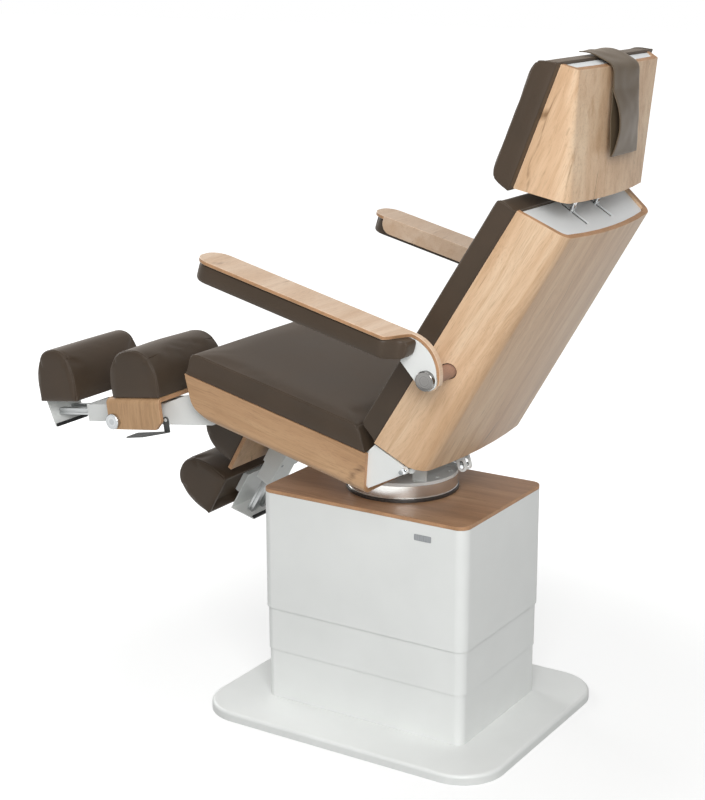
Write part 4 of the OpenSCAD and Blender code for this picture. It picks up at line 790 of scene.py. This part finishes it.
def strapLine(count):
    turn = math.radians(strap["fall"])
    centre = (strap["rear"], strap["top"] - strap["bend"])
    (y0, z0), (y1, z1) = strap["front"], strap["over"]
    line = [strap["front"], ((y0 + y1) / 2, (z0 + z1) / 2 + strap["crest"]), strap["over"]]
    for k in range(7):
        a = quarter - (quarter - turn) * k / 6
        line.append((centre[0] + strap["bend"] * math.cos(a), centre[1] + strap["bend"] * math.sin(a)))
    start, way = line[-1], (math.sin(turn), -math.cos(turn))
    falls = [strap["hang"] * k / 8 for k in range(1, 9)]
    line += [(start[0] + way[0] * fall, start[1] + way[1] * fall) for fall in falls]
    line = np.array(line)
    run = np.concatenate([[0], np.cumsum(np.linalg.norm(np.diff(line, axis=0), axis=1))])
    even = np.linspace(0, run[-1], count)
    path = np.stack([np.interp(even, run, line[:, k]) for k in range(2)], 1)
    for _ in range(3):  # the band turns softly
        path[1:-1] = (path[:-2] + 2 * path[1:-1] + path[2:]) / 4
    return path, even / run[-1], run[-1]


def makeStrap():
    path, share, length = strapLine(48)
    way = np.gradient(path, axis=0)
    way /= np.linalg.norm(way, axis=1, keepdims=True)
    out = np.stack([-way[:, 1], way[:, 0]], 1)
    across = np.linspace(-1, 1, 19)
    for name, inward in (("headStrap", 0.0), ("headStrapPouch", 1.0)):
        points, quads, start = [], [], strap["pouchFrom"]
        for at, facing, s in zip(path, out, share):
            slack = max(0.0, math.sin(math.pi * (s - start) / (1 - start))) if s > start else 0.0
            for u in across:
                cup = strap["cup"] * (1 - u * u) * max(0.0, s - strap["cupFrom"])
                mouth = strap["pouch"] * (1 - strap["skew"] + strap["skew"] * u)  # opens more on one side
                lift = strap["thick"] / 2 + cup + slack * mouth * (1 - 1.1 * inward)
                lift -= inward * strap["thick"] * 1.1
                shift = strap["ripple"] * noise.noise(Vector((u * 2, s * 9, inward * 5)))
                away = lift + shift
                aside = u * strap["half"] * (1 - 0.02 * inward)
                points.append((aside, at[0] + facing[0] * away, at[1] + facing[1] * away))
        first = 0 if inward < 0.5 else 22  # the inner layer has only the last 25 of the 47 rows
        for i in range(first, len(path) - 1):
            for k in range(len(across) - 1):
                a = i * len(across) + k
                quads.append((a, a + 1, a + len(across) + 1, a + len(across)))
        used = sorted({k for q in quads for k in q})
        where = {old: new for new, old in enumerate(used)}
        piece = meshPiece(name, [points[k] for k in used], [[where[k] for k in q] for q in quads], "strap", 0)
        thick = piece.modifiers.new("cloth", "SOLIDIFY")
        thick.thickness, thick.offset = strap["thick"], 0
        bevel = piece.modifiers.new("turnedEdge", "BEVEL")
        bevel.width, bevel.segments, bevel.limit_method = strap["turned"], 2, "ANGLE"
        applyModifiers(piece)
        moveInto(piece, headPlace)
        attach(piece, frame["nodes"]["head_strap"]["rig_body"])
        if inward < 0.5:
            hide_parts("head_strap")


makeStrap()
print("chair: strap")


# Small parts that are only seen from near

def disc(name, finish, rings, sidesCount, where, body):
    points, quads = [], []
    for radius, height in rings:
        for k in range(sidesCount):
            a = 2 * math.pi * k / sidesCount
            points.append((radius * math.cos(a), radius * math.sin(a), height))
    for r in range(len(rings) - 1):
        for k in range(sidesCount):
            a, b = r * sidesCount + k, r * sidesCount + (k + 1) % sidesCount
            quads.append((a, b, b + sidesCount, a + sidesCount))
    mesh = bpy.data.meshes.new(name)
    ends = [tuple(range(sidesCount))[::-1], tuple(range(len(points) - sidesCount, len(points)))]
    mesh.from_pydata(points, [], quads + ends)
    mesh.polygons.foreach_set("use_smooth", [True] * len(mesh.polygons))
    mesh.set_sharp_from_angle(angle=math.radians(30))
    mesh.materials.append(finishes[finish])
    piece = bpy.data.objects.new(name, mesh)
    scene.collection.objects.link(piece)
    moveInto(piece, where)
    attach(piece, body)


outward = Matrix.Rotation(quarter, 4, "Y")
screw = {"radius": 0.0042, "head": 0.0012, "socket": 0.0019, "depth": 0.0009}
armScrews = {"along": (0.150, 0.205, 0.262, 0.312), "across": (0.151, 0.225), "under": -0.089}
boltSocket = {"out": 0.287, "scale": 1.35}


def screwHead(name, where, body, scale=1.0):
    r, h, s, d = (screw[k] * scale for k in ("radius", "head", "socket", "depth"))
    rings = [(r, -0.0004), (r, h * 0.7), (r * 0.86, h), (s * 1.12, h), (s, h - 0.0002), (s, h - d)]
    disc(name, "zinc", rings, 24, where, body)


for side in sides:
    for k, s in enumerate(armScrews["along"]):
        for j, x in enumerate(armScrews["across"]):
            under = Matrix.Translation((x, -s, armScrews["under"])) @ Matrix.Rotation(math.pi, 4, "X")
            screwHead("armScrew%s%d%d" % (side.title(), k, j), legPlace[side] @ under,
                      "leg_" + side)
    head = sides[side] @ seatPlace @ Matrix.Translation((boltSocket["out"], 0, 0)) @ outward
    screwHead("boltSocket" + side.title(), head, "seat", boltSocket["scale"])

# bare identification plate on the column, held by its adhesive
plate = {"centre": (0.2102, 0.182, 0.557), "half": (0.024, 0.008), "thick": 0.0009, "corner": 0.0015}


def makePlate():
    w, h, r, t = plate["half"][0], plate["half"][1], plate["corner"], plate["thick"]
    outline = []
    for cx, cy, start in ((w - r, h - r, 0), (-w + r, h - r, 1), (-w + r, -h + r, 2), (w - r, -h + r, 3)):
        turns = [quarter * (start + k / 4) for k in range(5)]
        outline += [(cx + r * math.cos(a), cy + r * math.sin(a)) for a in turns]
    rings = [(1.0, -0.0003), (1.0, t * 0.7), (0.985, t), (0.93, t), (0.925, t - 0.00015)]
    points = [(x * f, y * f, z) for f, z in rings for x, y in outline]
    n = len(outline)
    quads = []
    for ring in range(0, (len(rings) - 1) * n, n):
        quads += [(ring + k, ring + (k + 1) % n, ring + n + (k + 1) % n, ring + n + k) for k in range(n)]
    mesh = bpy.data.meshes.new("columnPlate")
    mesh.from_pydata(points, [], quads + [tuple(range(n))[::-1], tuple(range(len(points) - n, len(points)))])
    mesh.materials.append(finishes["plate"])
    piece = bpy.data.objects.new("columnPlate", mesh)
    scene.collection.objects.link(piece)
    upright = Matrix(((0, 0, 1, 0), (1, 0, 0, 0), (0, 1, 0, 0), (0, 0, 0, 1)))
    moveInto(piece, Matrix.Translation(plate["centre"]) @ upright)
    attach(piece, frame["nodes"]["upper_shroud"]["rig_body"])


makePlate()
print("chair: small parts")
